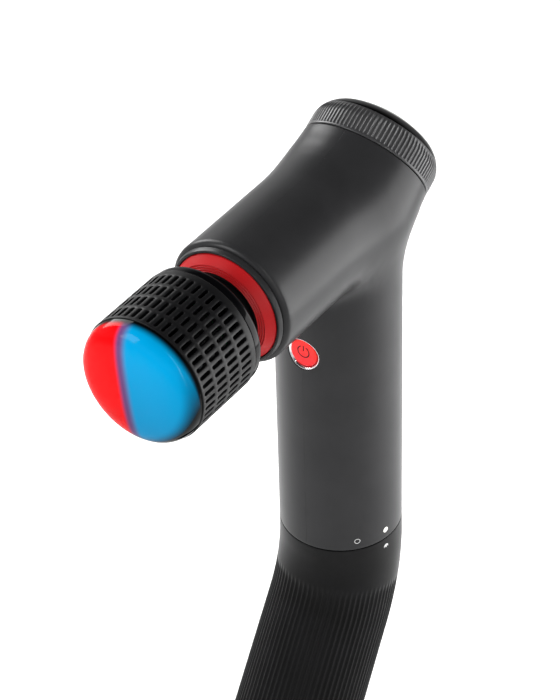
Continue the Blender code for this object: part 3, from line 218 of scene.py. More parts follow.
def faceEnamel():
    # Tinted lacquer over polished aluminium: deep colour under a hard clear gloss, with painted
    # shade that darkens it downwards and towards the lower edge.
    look = faceLook
    made, tree, shader, place = newMaterial("lacqueredAluminium", {
        "Roughness": 0.45, "IOR": 1.45, "Specular IOR Level": 0.0, "Coat Weight": 0.7,
        "Coat Roughness": 0.03, "Coat IOR": 1.15})
    # The object's place in millimetres from the barrel's axis, with forward made positive.
    millimetres = addNode(tree, "VectorMath", {"operation": "MULTIPLY_ADD", 1: (1000, -1000, 1000),
                                               2: tuple(-barrelPlace * (1, -1, 1))}, {0: place})
    parts = addNode(tree, "SeparateXYZ", links={"Vector": millimetres.outputs["Vector"]}).outputs
    # The border leans and bows: across = a * up * up + b * up + c, fitted to its points.
    across, up = np.array(look["border"]).T
    curve = [float(value) for value in np.polyfit(up, across, 2)]
    bow = addNode(tree, "Math", {"operation": "MULTIPLY_ADD", 1: curve[0], 2: curve[1]},
                  {0: parts["Z"]}).outputs[0]
    line = addNode(tree, "Math", {"operation": "MULTIPLY_ADD", 2: curve[2]},
                   {0: bow, 1: parts["Z"]}).outputs[0]
    side = addNode(tree, "Math", {"operation": "SUBTRACT"}, {0: parts["X"], 1: line}).outputs[0]
    share = addNode(tree, "MapRange", {"From Min": -look["blend"], "From Max": look["blend"]},
                    {"Value": side}).outputs["Result"]
    tint = addNode(tree, "ValToRGB", links={"Fac": share})
    tint.color_ramp.interpolation = "EASE"
    tint.color_ramp.elements[0].color = toLinear(look["red"])
    tint.color_ramp.elements[1].color = toLinear(look["blue"])
    tint.color_ramp.elements.new(0.42).color = toLinear(look["violet"])
    fade = addNode(tree, "MapRange", {"interpolation_type": "SMOOTHSTEP",
                                      "From Min": look["fullAt"], "From Max": look["blackAt"]},
                   {"Value": parts["Y"]}).outputs["Result"]
    # Painted shade: darker towards the bottom, and darker again outside a circle set off to the
    # upper left.
    low = addNode(tree, "MapRange", {"To Max": look["dim"], "From Min": look["dimFrom"],
                                     "From Max": look["dimTo"]},
                  {"Value": parts["Z"]}).outputs["Result"]
    pool = addNode(tree, "CombineXYZ", links={"X": parts["X"], "Z": parts["Z"]}).outputs[0]
    away = addNode(tree, "VectorMath", {"operation": "DISTANCE",
                                        1: (look["poolAcross"], 0, look["poolUp"])}, {0: pool})
    edge = addNode(tree, "MapRange", {"interpolation_type": "SMOOTHSTEP",
                                      "From Min": look["poolFull"], "From Max": look["poolEnd"]},
                   {"Value": away.outputs["Value"]}).outputs["Result"]
    paintedShade = addNode(tree, "Math", {"operation": "ADD", "use_clamp": True},
                   {0: low, 1: edge}).outputs[0]
    both = addNode(tree, "Math", {"operation": "MAXIMUM"}, {0: fade, 1: paintedShade}).outputs[0]
    faded = addNode(tree, "Mix", {"data_type": "RGBA", 7: toLinear(look["rim"])},
                    {0: both, 6: tint.outputs["Color"]})
    tree.links.new(faded.outputs[2], shader.inputs["Base Color"])
    grainBump(tree, shader, place, 0.4, 0.004, 0.3)
    return made


materials = {name: mouldedPlastic(name) for name in plastics}
materials.update({name: machinedMetal(name) for name in metals})
materials["glassEpoxyBoard"] = boardLaminate()
materials["lacqueredAluminium"] = faceEnamel()
print("materials made:", len(materials))


# Meshes from arrays
def meshPiece(name, points, faces, finish, body, stands=(), crease=35.0):
    # Points are (n, 3) in millimetres in the shared frame; faces are rows of 3 or 4 indices.
    points = np.asarray(points, float)
    quads = [np.asarray(group, np.int64) for group in faces if len(group)]
    total = 0.0    # six times the enclosed volume, which is negative when the faces point inwards
    for group in quads:
        for k in range(1, group.shape[1] - 1):
            a, b, c = points[group[:, 0]], points[group[:, k]], points[group[:, k + 1]]
            total += np.einsum("ij,ij->i", a, np.cross(b, c)).sum()
    if total < 0:
        quads = [group[:, ::-1] for group in quads]
    mesh = bpy.data.meshes.new(name)
    mesh.vertices.add(len(points))
    mesh.vertices.foreach_set("co", (points / 1000).astype(np.float32).ravel())
    sizes = np.concatenate([np.full(len(group), group.shape[1]) for group in quads])
    mesh.loops.add(int(sizes.sum()))
    corners = np.concatenate([group.ravel() for group in quads]).astype(np.int32)
    mesh.loops.foreach_set("vertex_index", corners)
    mesh.polygons.add(len(sizes))
    mesh.polygons.foreach_set("loop_start", (np.cumsum(sizes) - sizes).astype(np.int32))
    mesh.update(calc_edges=True)
    mesh.validate()
    mesh.shade_smooth()
    mesh.set_sharp_from_angle(angle=math.radians(crease))
    piece = bpy.data.objects.new(name, mesh)
    bpy.context.scene.collection.objects.link(piece)
    mesh.materials.append(materials[finish])
    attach(piece, body)
    if stands:
        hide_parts(*stands)


def gridFaces(rows, columns, aroundRows=False, aroundColumns=False, start=0):
    # Quads between neighbouring rows and columns of a grid that is stored row by row.
    i = np.arange(rows if aroundRows else rows - 1)[:, None]
    j = np.arange(columns if aroundColumns else columns - 1)[None, :]
    i2, j2 = (i + 1) % rows, (j + 1) % columns
    corners = (i * columns + j, i * columns + j2, i2 * columns + j2, i2 * columns + j)
    return np.stack([np.broadcast_to(c, (i.size, j.size)).ravel() for c in corners], axis=1) + start


def barrelFrame(across, up, forward):
    # Forward runs along the barrel, from the handle's axis to the face.
    return np.stack([barrelPlace[0] + across, barrelPlace[1] - forward, barrelPlace[2] + up],
                    axis=-1)


def tailFrame(across, up, out):
    # Out runs along the leaning axis of the dial.
    return np.stack([tailPlace[0] + across,
                     tailPlace[1] + out * math.cos(tailLean) - up * math.sin(tailLean),
                     tailPlace[2] + out * math.sin(tailLean) + up * math.cos(tailLean)], axis=-1)


def quarterRound(rounding, count):
    # What a rounded edge leaves of its two sides: rounding * (1 - sin a), rounding * (1 - cos a).
    a = np.linspace(0, math.pi / 2, count)
    return rounding * (1 - np.sin(a)), rounding * (1 - np.cos(a))


def roundedLoop(corners):
    # A closed outline of (radius, height, rounding) corners; each corner becomes a short arc.
    corners = [np.array(corner, float) for corner in corners]
    made = []
    for i, corner in enumerate(corners):
        before, after = corners[i - 1][:2], corners[(i + 1) % len(corners)][:2]
        here, rounding = corner[:2], corner[2]
        if rounding <= 0:
            made.append(here)
            continue
        to, on = before - here, after - here
        reach = min(rounding, 0.45 * np.linalg.norm(to), 0.45 * np.linalg.norm(on))
        first = here + to / np.linalg.norm(to) * reach
        last = here + on / np.linalg.norm(on) * reach
        for t in np.linspace(0, 1, 6):
            made.append((1 - t) ** 2 * first + 2 * t * (1 - t) * here + t * t * last)
    return np.array(made)


def endFans(rows, steps):
    # Triangles from the first and last ring of a grid to two centre points stored after it.
    count = rows * steps
    k = np.arange(steps)
    k2 = (k + 1) % steps
    low = np.stack([np.full(steps, count), k2, k], axis=1)
    top = np.stack([np.full(steps, count + 1), count - steps + k, count - steps + k2], axis=1)
    return np.concatenate([low, top])


def turnedPiece(name, outline, place, finish, body, stands=(), steps=160, crease=35.0,
                closed=True):
    # radius and height run along the outline, which is turned once round the axis of the frame:
    # point = radius * (cos turn, sin turn), height. An open outline ends on the axis.
    outline = np.asarray(outline, float)
    turn = np.arange(steps) * 2 * math.pi / steps
    if closed:
        radius, height = outline[:, :1], outline[:, 1:2] + 0 * turn
        points = place(radius * np.cos(turn), radius * np.sin(turn), height).reshape(-1, 3)
        faces = [gridFaces(len(outline), steps, aroundRows=True, aroundColumns=True)]
    else:
        inner = outline[1:-1]
        radius, height = inner[:, :1], inner[:, 1:2] + 0 * turn
        points = place(radius * np.cos(turn), radius * np.sin(turn), height).reshape(-1, 3)
        ends = place(np.zeros(2), np.zeros(2), outline[[0, -1], 1])
        points = np.concatenate([points, ends])
        faces = [gridFaces(len(inner), steps, aroundColumns=True), endFans(len(inner), steps)]
    meshPiece(name, points, faces, finish, body, stands, crease)


def twoSkins(outer, inner, faces):
    # Joins an outer and an inner skin of the same faces along every open edge.
    count = len(outer)
    edges = np.concatenate([np.stack([faces[:, k], faces[:, (k + 1) % 4]], axis=1)
                            for k in range(4)])
    key = np.sort(edges, axis=1)
    order = key[:, 0] * count + key[:, 1]
    _, where, times = np.unique(order, return_index=True, return_counts=True)
    rim = edges[where[times == 1]]
    walls = np.stack([rim[:, 1], rim[:, 0], rim[:, 0] + count, rim[:, 1] + count], axis=1)
    return np.concatenate([outer, inner]), np.concatenate([faces, faces[:, ::-1] + count, walls])


def mergeClose(points, faces, distance=0.004):
    # Grids that share a line get shared points there; quads that lose an edge are dropped.
    key = np.round(points / distance).astype(np.int64)
    _, first, index = np.unique(key, axis=0, return_index=True, return_inverse=True)
    index = index.ravel()
    faces = index[faces]
    alive = np.array([(faces[:, k] != faces[:, (k + 1) % 4]) for k in range(4)]).all(axis=0)
    return points[first], faces[alive]


# Housing: two half shells of barrel, tail and handle
housingSizes = {
    "handleRadius": 22.0, "barrelRadius": 22.7, "tailRadius": 23.05, "tailStem": 38.0,
    "tailFlare": 0.09, "flareTo": 16.0, "tailEnd": 21.0, "barrelOverlap": 5.0,
    "noseReach": 62.0, "noseRounding": 1.9, "frontBlend": 6.0, "backBlend": 24.0, "topBlend": 10.0,
    "blendChange": 8.0, "wall": 2.0, "partingGap": 0.012, "partingRounding": 0.22,
    "endRounding": 0.25, "flow": 8.0, "flowBarrel": (34, 24), "flowHandle": (36, 20), "flowTail": 7,
    "handleEnd": -134.25, "straightTo": -36.0, "around": 44,
    "buttonDrop": -47.8, "buttonHole": 6.2, "holeRounding": 0.35, "patch": 10.5,
}


def eased(share):
    # 3 t^2 - 2 t^3, held at 0 and 1.
    share = np.clip(share, 0, 1)
    return share * share * (3 - 2 * share)


def roundedUnion(first, second, rounding):
    # max(r, min(a, b)) - hypot(max(r - a, 0), max(r - b, 0)): two skins with a rounded corner.
    rounding = np.maximum(rounding, 0.01)
    corner = np.hypot(np.maximum(rounding - first, 0), np.maximum(rounding - second, 0))
    return np.maximum(rounding, np.minimum(first, second)) - corner


def tailPlane(y, z):
    # Turns (y, z) into distances across and along the leaning axis of the tail.
    y, z = y - tailBack, z - tailRise
    return (z * math.cos(tailLean) - y * math.sin(tailLean),
            y * math.cos(tailLean) + z * math.sin(tailLean))


def housingField(points):
    # Signed distance-like value: barrel along Y, handle down Z, tail along the leaning axis.
    s = housingSizes
    x, y, z = points[..., 0], points[..., 1], points[..., 2]
    barrelR, handleR = np.hypot(x, z) + 1e-6, np.hypot(x, y) + 1e-6
    barrel = np.maximum(barrelR - s["barrelRadius"], y - s["barrelOverlap"])
    handle = np.maximum(handleR - s["handleRadius"], z)
    across, along = tailPlane(y, z)
    tailR = np.hypot(x, across) + 1e-6
    inward = np.clip(-along, 0, None)
    sink = eased((inward - s["flareTo"]) / (s["tailStem"] - s["flareTo"]))
    reach = s["tailRadius"] + s["tailFlare"] * np.minimum(inward, s["flareTo"])
    tail = np.maximum(tailR - reach - (s["tailEnd"] - reach) * sink, -along - s["tailStem"])
    barrelHandle = x * x / (barrelR * handleR)
    barrelTail = (x * x + z * across * math.cos(tailLean)) / (barrelR * tailR)
    handleTail = (x * x - y * across * math.sin(tailLean)) / (handleR * tailR)
    behind = eased((y + s["blendChange"]) / (2 * s["blendChange"]))
    upper = roundedUnion(barrel, tail, 2 * s["topBlend"] * (1 - barrelTail))
    corner = (s["frontBlend"] * (1 - behind) * np.clip(1 - barrelHandle, 0, 1)
              + s["backBlend"] * behind * np.clip(1 - handleTail, 0, 1))
    return roundedUnion(upper, handle, corner)


def ballRule():
    # Directions to the faces, edges and corners of a cube, and their weights in a mean.
    steps = np.arange(3) - 1
    grid = np.stack(np.meshgrid(steps, steps, steps), axis=-1).reshape(-1, 3).astype(float)
    length = np.sqrt((grid ** 2).sum(axis=1))
    grid, length = grid[length > 0], length[length > 0]
    weight = np.select([length < 1.2, length < 1.5], [1 / 21, 4 / 105], 9 / 280)
    return list(zip(grid / length[:, None], weight))


def flowingField(points):
    # Mean of the field over two shells of a ball of radius d, which shrinks to nothing along each
    # tube, so that the three tubes flow together. The mean takes 0.1085 d d / R off a tube, which
    # is given back.
    s = housingSizes
    y, z = points[..., 1], points[..., 2]
    inward = -tailPlane(y, z)[1]
    (barrelStart, barrelRun), (handleStart, handleRun) = s["flowBarrel"], s["flowHandle"]
    size = (s["flow"] * eased((y + barrelStart) / barrelRun) * eased((z + handleStart) / handleRun)
            * eased(inward / s["flowTail"]))
    value = housingField(points)
    moved = size > 0.05
    spots, ball = points[moved], size[moved][:, None]
    mean = sum(weight * (housingField(spots + ball * way) + housingField(spots + 0.55 * ball * way))
               for way, weight in ballRule()) / 2
    value[moved] = mean - 0.1085 * ball[:, 0] ** 2 / s["barrelRadius"]
    return value


def edgeDepth(points):
    # How far the skin rolls in near the parting line, the nose and the two seams.
    s = housingSizes
    x, y, z = points[..., 0], points[..., 1], points[..., 2]
    along = tailPlane(y, z)[1]
    depth = 0
    # The parting line is tight but for its ends at the nose and at the tail.
    ajar = np.maximum(eased(1 - (y + s["noseReach"]) / 2.5), eased(1 + along / 5))
    for distance, rounding in ((x - s["partingGap"], s["partingRounding"] * (0.15 + 0.85 * ajar)),
                               (y + s["noseReach"], s["noseRounding"]),
                               (z - s["handleEnd"], s["endRounding"]), (-along, s["endRounding"])):
        left = rounding - np.clip(distance, 0, rounding)
        depth = np.maximum(depth, rounding - np.sqrt(np.maximum(rounding ** 2 - left ** 2, 0)))
    return depth


def castRings(origins, leans, turns, level):
    # Rays leave the pipe's axis at each origin; the lean differs for the two quarters of a ring.
    angle = np.where(np.sin(turns)[None, :] >= 0, leans[0][:, None], leans[1][:, None])
    side = np.abs(np.sin(turns))[None, :]
    rays = np.stack([np.broadcast_to(np.cos(turns)[None, :], angle.shape),
                     side * np.cos(angle), side * np.sin(angle)], axis=-1)
    start = origins[:, None, :]
    near, far = np.zeros(angle.shape), np.full(angle.shape, 70.0)
    for _ in range(34):
        middle = (near + far) / 2
        spot = start + middle[..., None] * rays
        value = housingField(spot) + (edgeDepth(spot) if level == 0 else -level)
        outside = value > 0
        near, far = np.where(outside, near, middle), np.where(outside, middle, far)
    # A few secant steps bring the points from the sharp field to the flowing one.
    reach, step = near, np.full(angle.shape, 0.05)
    value = skinValue(start + reach[..., None] * rays, level)
    for _ in range(4):
        fresh = skinValue(start + (reach + step)[..., None] * rays, level)
        slope = np.clip((fresh - value) / np.where(np.abs(step) > 1e-7, step, 1.0), 0.3, 1.2)
        slope = np.where(np.abs(step) > 1e-7, slope, 1.0)
        reach, value = reach + step, fresh
        step = np.clip(-value / slope, -3, 3)
    return start + reach[..., None] * rays


def skinValue(spot, level):
    return flowingField(spot) + (edgeDepth(spot) if level == 0 else -level)


def closeToEnd(rounding):
    # Distances from an end at which a rounded edge needs its rings.
    return rounding * (1 - np.sin(np.linspace(math.pi / 2, 0, 6)))


def housingSkin(level):
    s = housingSizes
    right = math.pi / 2
    # Planes that part the tubes: barrel from handle, handle from tail, tail from barrel.
    front, back, top = math.radians(225), math.radians(-30), math.radians(105)
    quarter = right - np.concatenate([closeToEnd(s["partingRounding"])[::-1] + s["partingGap"],
                                      [0.55, 1.0]]) / s["handleRadius"]
    quarter = np.sort(np.concatenate([np.linspace(0, right - 0.08, s["around"]), quarter]))
    turns = np.concatenate([-quarter[:0:-1], quarter])
    rings, faces, count = [], [], 0
    # Barrel: upright rings from the nose, then rings that lean over to the planes of the corner.
    nose = -s["noseReach"] + np.concatenate([closeToEnd(s["noseRounding"]),
                                             np.arange(3.0, 26.0, 1.6)])
    share = np.linspace(0, 1, 22)[1:]
    straight = nose[-1]
    place = np.concatenate([nose, straight * (1 - share)])
    tan = np.concatenate([nose * 0, share])
    leans = (right + np.arctan(tan * math.tan(top - right)),
             3 * right - np.arctan(tan * math.tan(3 * right - front)))
    barrelRings = castRings(np.stack([0 * place, place, 0 * place], axis=1), leans, turns, level)
    # Tail: from its end plane to the corner, 19 mm away.
    share = np.concatenate([closeToEnd(s["endRounding"]) / 19.0, np.linspace(0.04, 1, 20)])
    origins = (1 - share)[:, None] * np.array([[0, tailBack, tailRise]])
    leans = (right + tailLean + (top - right - tailLean) * share,
             tailLean - right + (back - tailLean + right) * share)
    tailRings = castRings(origins, leans, turns, level)
    # Handle: level rings, closer together from below the button up, then rings that lean over.
    low = s["handleEnd"] + np.concatenate([closeToEnd(s["endRounding"]), np.arange(1.2, 38, 2.4),
                                           np.linspace(38.5, s["straightTo"] - s["handleEnd"], 45)])
    share = np.linspace(0, 1, 26)[1:]
    place = np.concatenate([low, s["straightTo"] * (1 - share)])
    tan = np.concatenate([low * 0, share])
    leans = (2 * right + np.arctan(tan * math.tan(front - 2 * right)),
             np.arctan(tan * math.tan(back)))
    handleRings = castRings(np.stack([0 * place, 0 * place, place], axis=1), leans, turns, level)
    for ring in (barrelRings, tailRings):
        rings.append(ring.reshape(-1, 3))
        faces.append(gridFaces(*ring.shape[:2], start=count))
        count += ring.shape[0] * ring.shape[1]
    patch = buttonPatch(low, turns, handleRings, level)
    rings.append(handleRings.reshape(-1, 3))
    grid = gridFaces(*handleRings.shape[:2], start=count)
    faces.append(grid[patch["keep"]])
    count += handleRings.shape[0] * handleRings.shape[1]
    rings.append(patch["points"])
    faces.append(patch["faces"] + count)
    return np.concatenate(rings), np.concatenate(faces)


def buttonPatch(low, turns, handleRings, level):
    # A square of the handle's grid gives way to rings that run from its border to the round hole.
    s = housingSizes
    drop, size = s["buttonDrop"], s["patch"]
    columns, rows = len(turns), handleRings.shape[0]
    firstRow = int(np.argmin(np.abs(low - (drop - size))))
    lastRow = int(np.argmin(np.abs(low - (drop + size))))
    crest = columns - 1
    radius = s["handleRadius"]
    firstColumn = int(np.argmin(np.abs(radius * np.cos(turns) - size) + (turns < 0) * 99))
    i = np.arange(rows - 1)[:, None]
    j = np.arange(columns - 1)[None, :]
    inside = (i >= firstRow) & (i < lastRow) & (j >= firstColumn) & (j < crest)
    keep = ~inside.ravel()
    bottom = handleRings[firstRow, crest:firstColumn:-1]
    side = handleRings[firstRow:lastRow, firstColumn]
    top = handleRings[lastRow, firstColumn:crest + 1]
    border = np.concatenate([bottom, side, top])
    angle = np.arctan2(border[:, 2] - drop, border[:, 0])
    hole = s["buttonHole"] + (s["holeRounding"] if level == 0 else 0)
    edge = np.stack([hole * np.cos(angle), drop + hole * np.sin(angle)], axis=1)
    edge[[0, -1], 0] = s["partingGap"]
    share = np.concatenate([np.linspace(0, 1, 12), 1 + np.linspace(0, 1, 6)[1:]])
    flat = np.minimum(share, 1)[:, None, None]
    spread = (1 - flat) * border[None, :, [0, 2]] + flat * edge[None]
    roll = s["holeRounding"] * np.sin(np.clip(share - 1, 0, 1) * math.pi / 2)
    sunk = s["holeRounding"] * (1 - np.cos(np.clip(share - 1, 0, 1) * math.pi / 2))
    if level != 0:
        roll, sunk = roll * 0, sunk * 0
    way = np.stack([np.cos(angle), np.sin(angle)], axis=1)
    spread = spread - roll[:, None, None] * way[None]
    spread[:, [0, -1], 0] = border[[0, -1], 0]
    x, z = spread[..., 0], spread[..., 1]
    spot = np.stack([x, -radius + 0 * x, z], axis=-1)
    depth = edgeDepth(spot) if level == 0 else -level
    y = -np.sqrt(np.maximum((radius - depth - sunk[:, None]) ** 2 - x * x, 0))
    points = np.stack([x, y, z], axis=-1)
    points[0] = border
    return {"keep": keep, "points": points.reshape(-1, 3),
            "faces": gridFaces(points.shape[0], points.shape[1])}


def makeHousing():
    outer, faces = housingSkin(0)
    inner, _ = housingSkin(-housingSizes["wall"])
    both = np.concatenate([outer, inner], axis=1)
    both, faces = mergeClose(both, faces)
    points, faces = twoSkins(both[:, :3], both[:, 3:], faces)
    for name, mirror in (("housing_left", 1), ("housing_right", -1)):
        meshPiece(name + "_shell", points * (mirror, 1, 1) + barrelPlace, [faces], "satinGreyAbs",
                  "main_body", (name,), 40.0)


makeHousing()
print("housing made")


# Nose: dark collar, red ring with its steps, seal
noseSizes = {
    "rim": 62.3, "ringRadius": 19.6, "foot": 60.9, "shoulder": 64.2, "edge": 0.25,
    "flatTo": (17.3, 66.9), "ridgesTo": (15.2, 67.7), "ridges": 3, "ridgeDepth": 0.38,
    "collarInner": 19.95, "collarTip": 20.75, "collarRounding": 0.9, "collarFoot": 21.15,
    "sealOuter": 15.0, "sealInner": 12.6, "sealTip": 66.2,
}


def makeNose():
    s = noseSizes
    rim, top, inner = s["rim"], s["shoulder"], s["collarInner"]
    collar = roundedLoop([(inner, top, 0.1), (s["collarTip"], top, s["collarRounding"]),
                          (s["collarFoot"], rim, 0.1), (inner, rim, 0)])
    turnedPiece("nose_collar", collar, barrelFrame, "satinGreyAbs", "main_body",
                ("nose_bezel",))
    (flatR, flatF), (lastR, lastF) = s["flatTo"], s["ridgesTo"]
    body = roundedLoop([(flatR, flatF, 0), (s["ringRadius"], top, s["edge"]),
                        (s["ringRadius"], s["foot"], 0), (lastR, s["foot"], 0)])
    # Ridges: depth = deepest * (0.5 - 0.5 cos(2 pi n t)) ^ 0.7 below the line from band to bore.
    t = np.linspace(1, 0, 61)[:-1]
    groove = s["ridgeDepth"] * (0.5 - 0.5 * np.cos(2 * math.pi * s["ridges"] * t)) ** 0.7
    ridges = np.stack([flatR + (lastR - flatR) * t, flatF + (lastF - flatF) * t - groove], axis=1)
    turnedPiece("nose_red_ring", np.concatenate([body, ridges]), barrelFrame, "redAbs", "main_body",
                ("nose_ring",))
    inner, outer, tip = s["sealInner"], s["sealOuter"], s["sealTip"]
    lip = roundedLoop([(inner, tip, 0.25), (outer, tip, 0.3), (outer, rim, 0), (inner, rim, 0)])
    turnedPiece("plunger_wiper", lip, barrelFrame, "nitrileRubber", "main_body",
                ("wiper_seal",), steps=96)


makeNose()
print("nose made")


# Head: rear cover, slotted sleeve, domed face
headSizes = {
    "back": 75.2, "side": 78.7, "coverRadius": 22.1, "coverRounding": 2.2, "coverPlate": 2.2,
    "skirtRadius": 20.3, "skirtBore": 18.1, "stemHole": 8.1, "radius": 22.4, "wall": 1.8,
    "length": 28.2, "gap": 0.3, "edge": 0.35, "slotsAround": 50, "slotRings": 4,
    "slotLength": 5.0, "slotWidthShare": 0.46, "ringPitch": 6.43, "rearMargin": 3.1,
    "slotRounding": 0.18, "faceRadius": 22.2, "faceHeight": 7.0, "crown": 14.6,
    "crownPower": 5.0, "faceWall": 3.4, "spigot": 2.4, "spigotWall": 1.3,
}


def makeCover():
    s = headSizes
    back, side, plate = s["back"], s["side"], s["coverPlate"]
    skirt, bore, hole = s["skirtRadius"], s["skirtBore"], s["stemHole"]
    outline = roundedLoop([(bore, side + plate, 0), (skirt, side + plate, 0.2), (skirt, side, 0),
                           (s["coverRadius"], side, 0.2),
                           (s["coverRadius"], back, s["coverRounding"]), (hole, back, 0.3),
                           (hole, back + plate, 0), (bore, back + plate, 0)])
    turnedPiece("head_back_cover", outline, barrelFrame, "glossBlackPolycarbonate", "head",
                ("head_rear_cover",))


def slotCell():
    # One cell of the sleeve in units of (share of the pitch, millimetres along the axis): rings of
    # points from the cell's border to the round-ended slot, then down through the wall.
    s = headSizes
    pitch = 2 * math.pi / s["slotsAround"] * s["radius"]
    halfW, halfL = pitch * s["slotWidthShare"] / 2, s["slotLength"] / 2
    # A quarter of the outline, then its mirror images, so that all cells share border points.
    quarter = [(halfW, 0.0)] + [(halfW * math.cos(t), halfL - halfW + halfW * math.sin(t))
                                for t in np.linspace(0, math.pi / 2, 5)]
    outerW, outerL = pitch / 2, s["ringPitch"] / 2
    border = [(outerW, 0.0), (outerW, outerL * 0.6), (outerW, outerL * 0.85), (outerW, outerL),
              (outerW * 0.5, outerL), (0.0, outerL)]
    shape = np.array([border, quarter])
    return np.concatenate([shape, shape[:, -2::-1] * (-1, 1), shape[:, 1:] * (-1, -1),
                           shape[:, -2:0:-1] * (1, -1)], axis=1)


def makeSleeve():
    s = headSizes
    border, slot = slotCell()
    low, radius, inset, edge = s["side"] + s["gap"], s["radius"], s["slotRounding"], s["edge"]
    length = np.linalg.norm(slot, axis=1, keepdims=True)
    middle = slot * (1 + inset / np.maximum(length, 0.6))
    # Rings of one cell: (across, along, depth below the outer skin).
    depths = (0.0, 0.0, 0.3 * inset, inset, s["wall"], s["wall"])
    flats = (border, middle, slot + 0.3 * (middle - slot), slot, slot, border)
    cell = np.stack([np.concatenate([flat, np.full((len(flat), 1), depth)], axis=1)
                     for flat, depth in zip(flats, depths)])
    count = cell.shape[1]
    cellFaces = gridFaces(len(cell), count, aroundColumns=True)
    centres = (s["side"] + s["rearMargin"] + s["slotLength"] / 2
               + np.arange(s["slotRings"]) * s["ringPitch"])
    turns = np.arange(s["slotsAround"]) * 2 * math.pi / s["slotsAround"]
    across = cell[..., 0][None, None] / radius + turns[None, :, None, None]
    along = cell[..., 1][None, None] + centres[:, None, None, None]
    deep = np.broadcast_to(radius - cell[..., 2], np.broadcast_shapes(across.shape, along.shape))
    across, along = np.broadcast_arrays(across, along)
    points = barrelFrame(deep * np.cos(across), deep * np.sin(across), along).reshape(-1, 3)
    number = np.arange(s["slotRings"] * s["slotsAround"])[:, None, None] * cell.shape[0] * count
    faces = [(cellFaces[None] + number).reshape(-1, 4)]
    # Plain bands at both ends close the sleeve; their points match the cells' borders.
    around = (border[:, 0] / radius + turns[:, None]).ravel()
    around = np.unique(np.round(around % (2 * math.pi), 6))
    around = around[np.concatenate([[True], np.diff(around) > 1e-4])]
    if 2 * math.pi - around[-1] + around[0] < 1e-4:
        around = around[:-1]
    count = len(points)
    short, sunk = quarterRound(edge, 5)
    for end, start in ((low, centres[0] - s["ringPitch"] / 2),
                       (low + s["length"], centres[-1] + s["ringPitch"] / 2)):
        way = 1 if end > start else -1
        heights = np.concatenate([[start], end - way * short, [end, start]])[:, None]
        radii = np.concatenate([[radius], radius - sunk, [radius - s["wall"]] * 2])[:, None]
        band = barrelFrame(radii * np.cos(around), radii * np.sin(around), heights + 0 * around)
        grid = gridFaces(band.shape[0], band.shape[1], aroundColumns=True, start=count)
        faces.append(grid[:, ::-1] if way > 0 else grid)
        points = np.concatenate([points, band.reshape(-1, 3)])
        count = len(points)
    points, faces = mergeClose(points, np.concatenate(faces), 0.01)
    meshPiece("head_sleeve", points, [faces], "mattBlackAbs", "head",
              ("vent_sleeve",), 40.0)


def makeFace():
    # radius = R cos(a)^(2/5), height = H sin(a)^(2/5): a dome that is flat in the middle and rolls
    # over near its edge.
    s = headSizes
    edge = s["side"] + s["length"] + 2 * s["gap"]
    low = s["crown"] - s["faceHeight"]
    power = 2 / s["crownPower"]
    start = math.asin((low / s["crown"]) ** (1 / power))
    angle = start + (math.pi / 2 - start) * np.sin(np.linspace(0, 1, 60) * math.pi / 2)
    radius = s["faceRadius"] * np.cos(angle) ** power
    height = edge - low + s["crown"] * np.sin(angle) ** power
    skirt, wall = s["radius"] - s["wall"] - s["gap"], s["spigotWall"]
    inside = edge + s["faceHeight"] - s["faceWall"]
    outline = list(zip(radius, height))[::-1]
    outline[0] = (0, edge + s["faceHeight"])
    outline = outline[:1] + outline[2:]
    outline += [(skirt, edge), (skirt, edge - s["spigot"]), (skirt - wall, edge - s["spigot"]),
                (skirt - wall, inside), (0, inside)]
    turnedPiece("head_dome", outline, barrelFrame, "lacqueredAluminium", "head",
                ("head_face",), closed=False, steps=192)


makeCover()
makeSleeve()
makeFace()
print("head made")


# Tail: fluted dial and crowned window
dialSizes = {
    "radius": 23.05, "height": 10.8, "crown": 7.2, "rounding": 5.0, "foot": 0.3, "ribs": 96,
    "ribDepth": 0.34, "ribFrom": 1.0, "ribTo": 10.3, "lens": 21.45, "lensRim": 0.3,
    "bore": 18.2, "ledge": 21.6, "tube": 9.714, "recess": 15.8, "recessRise": 2.1, "edge": 0.3,
}


def capLevel(radius):
    # height = cap + crown * (1 - (r/R)^2), less a quarter circle over the last 5 mm.
    s = dialSizes
    edge = np.clip(radius - s["radius"] + s["rounding"], 0, None) / s["rounding"]
    return (s["height"] + s["crown"] * (1 - (radius / s["radius"]) ** 2)
            - s["rounding"] * (1 - np.sqrt(np.clip(1 - edge * edge, 0, 1))))


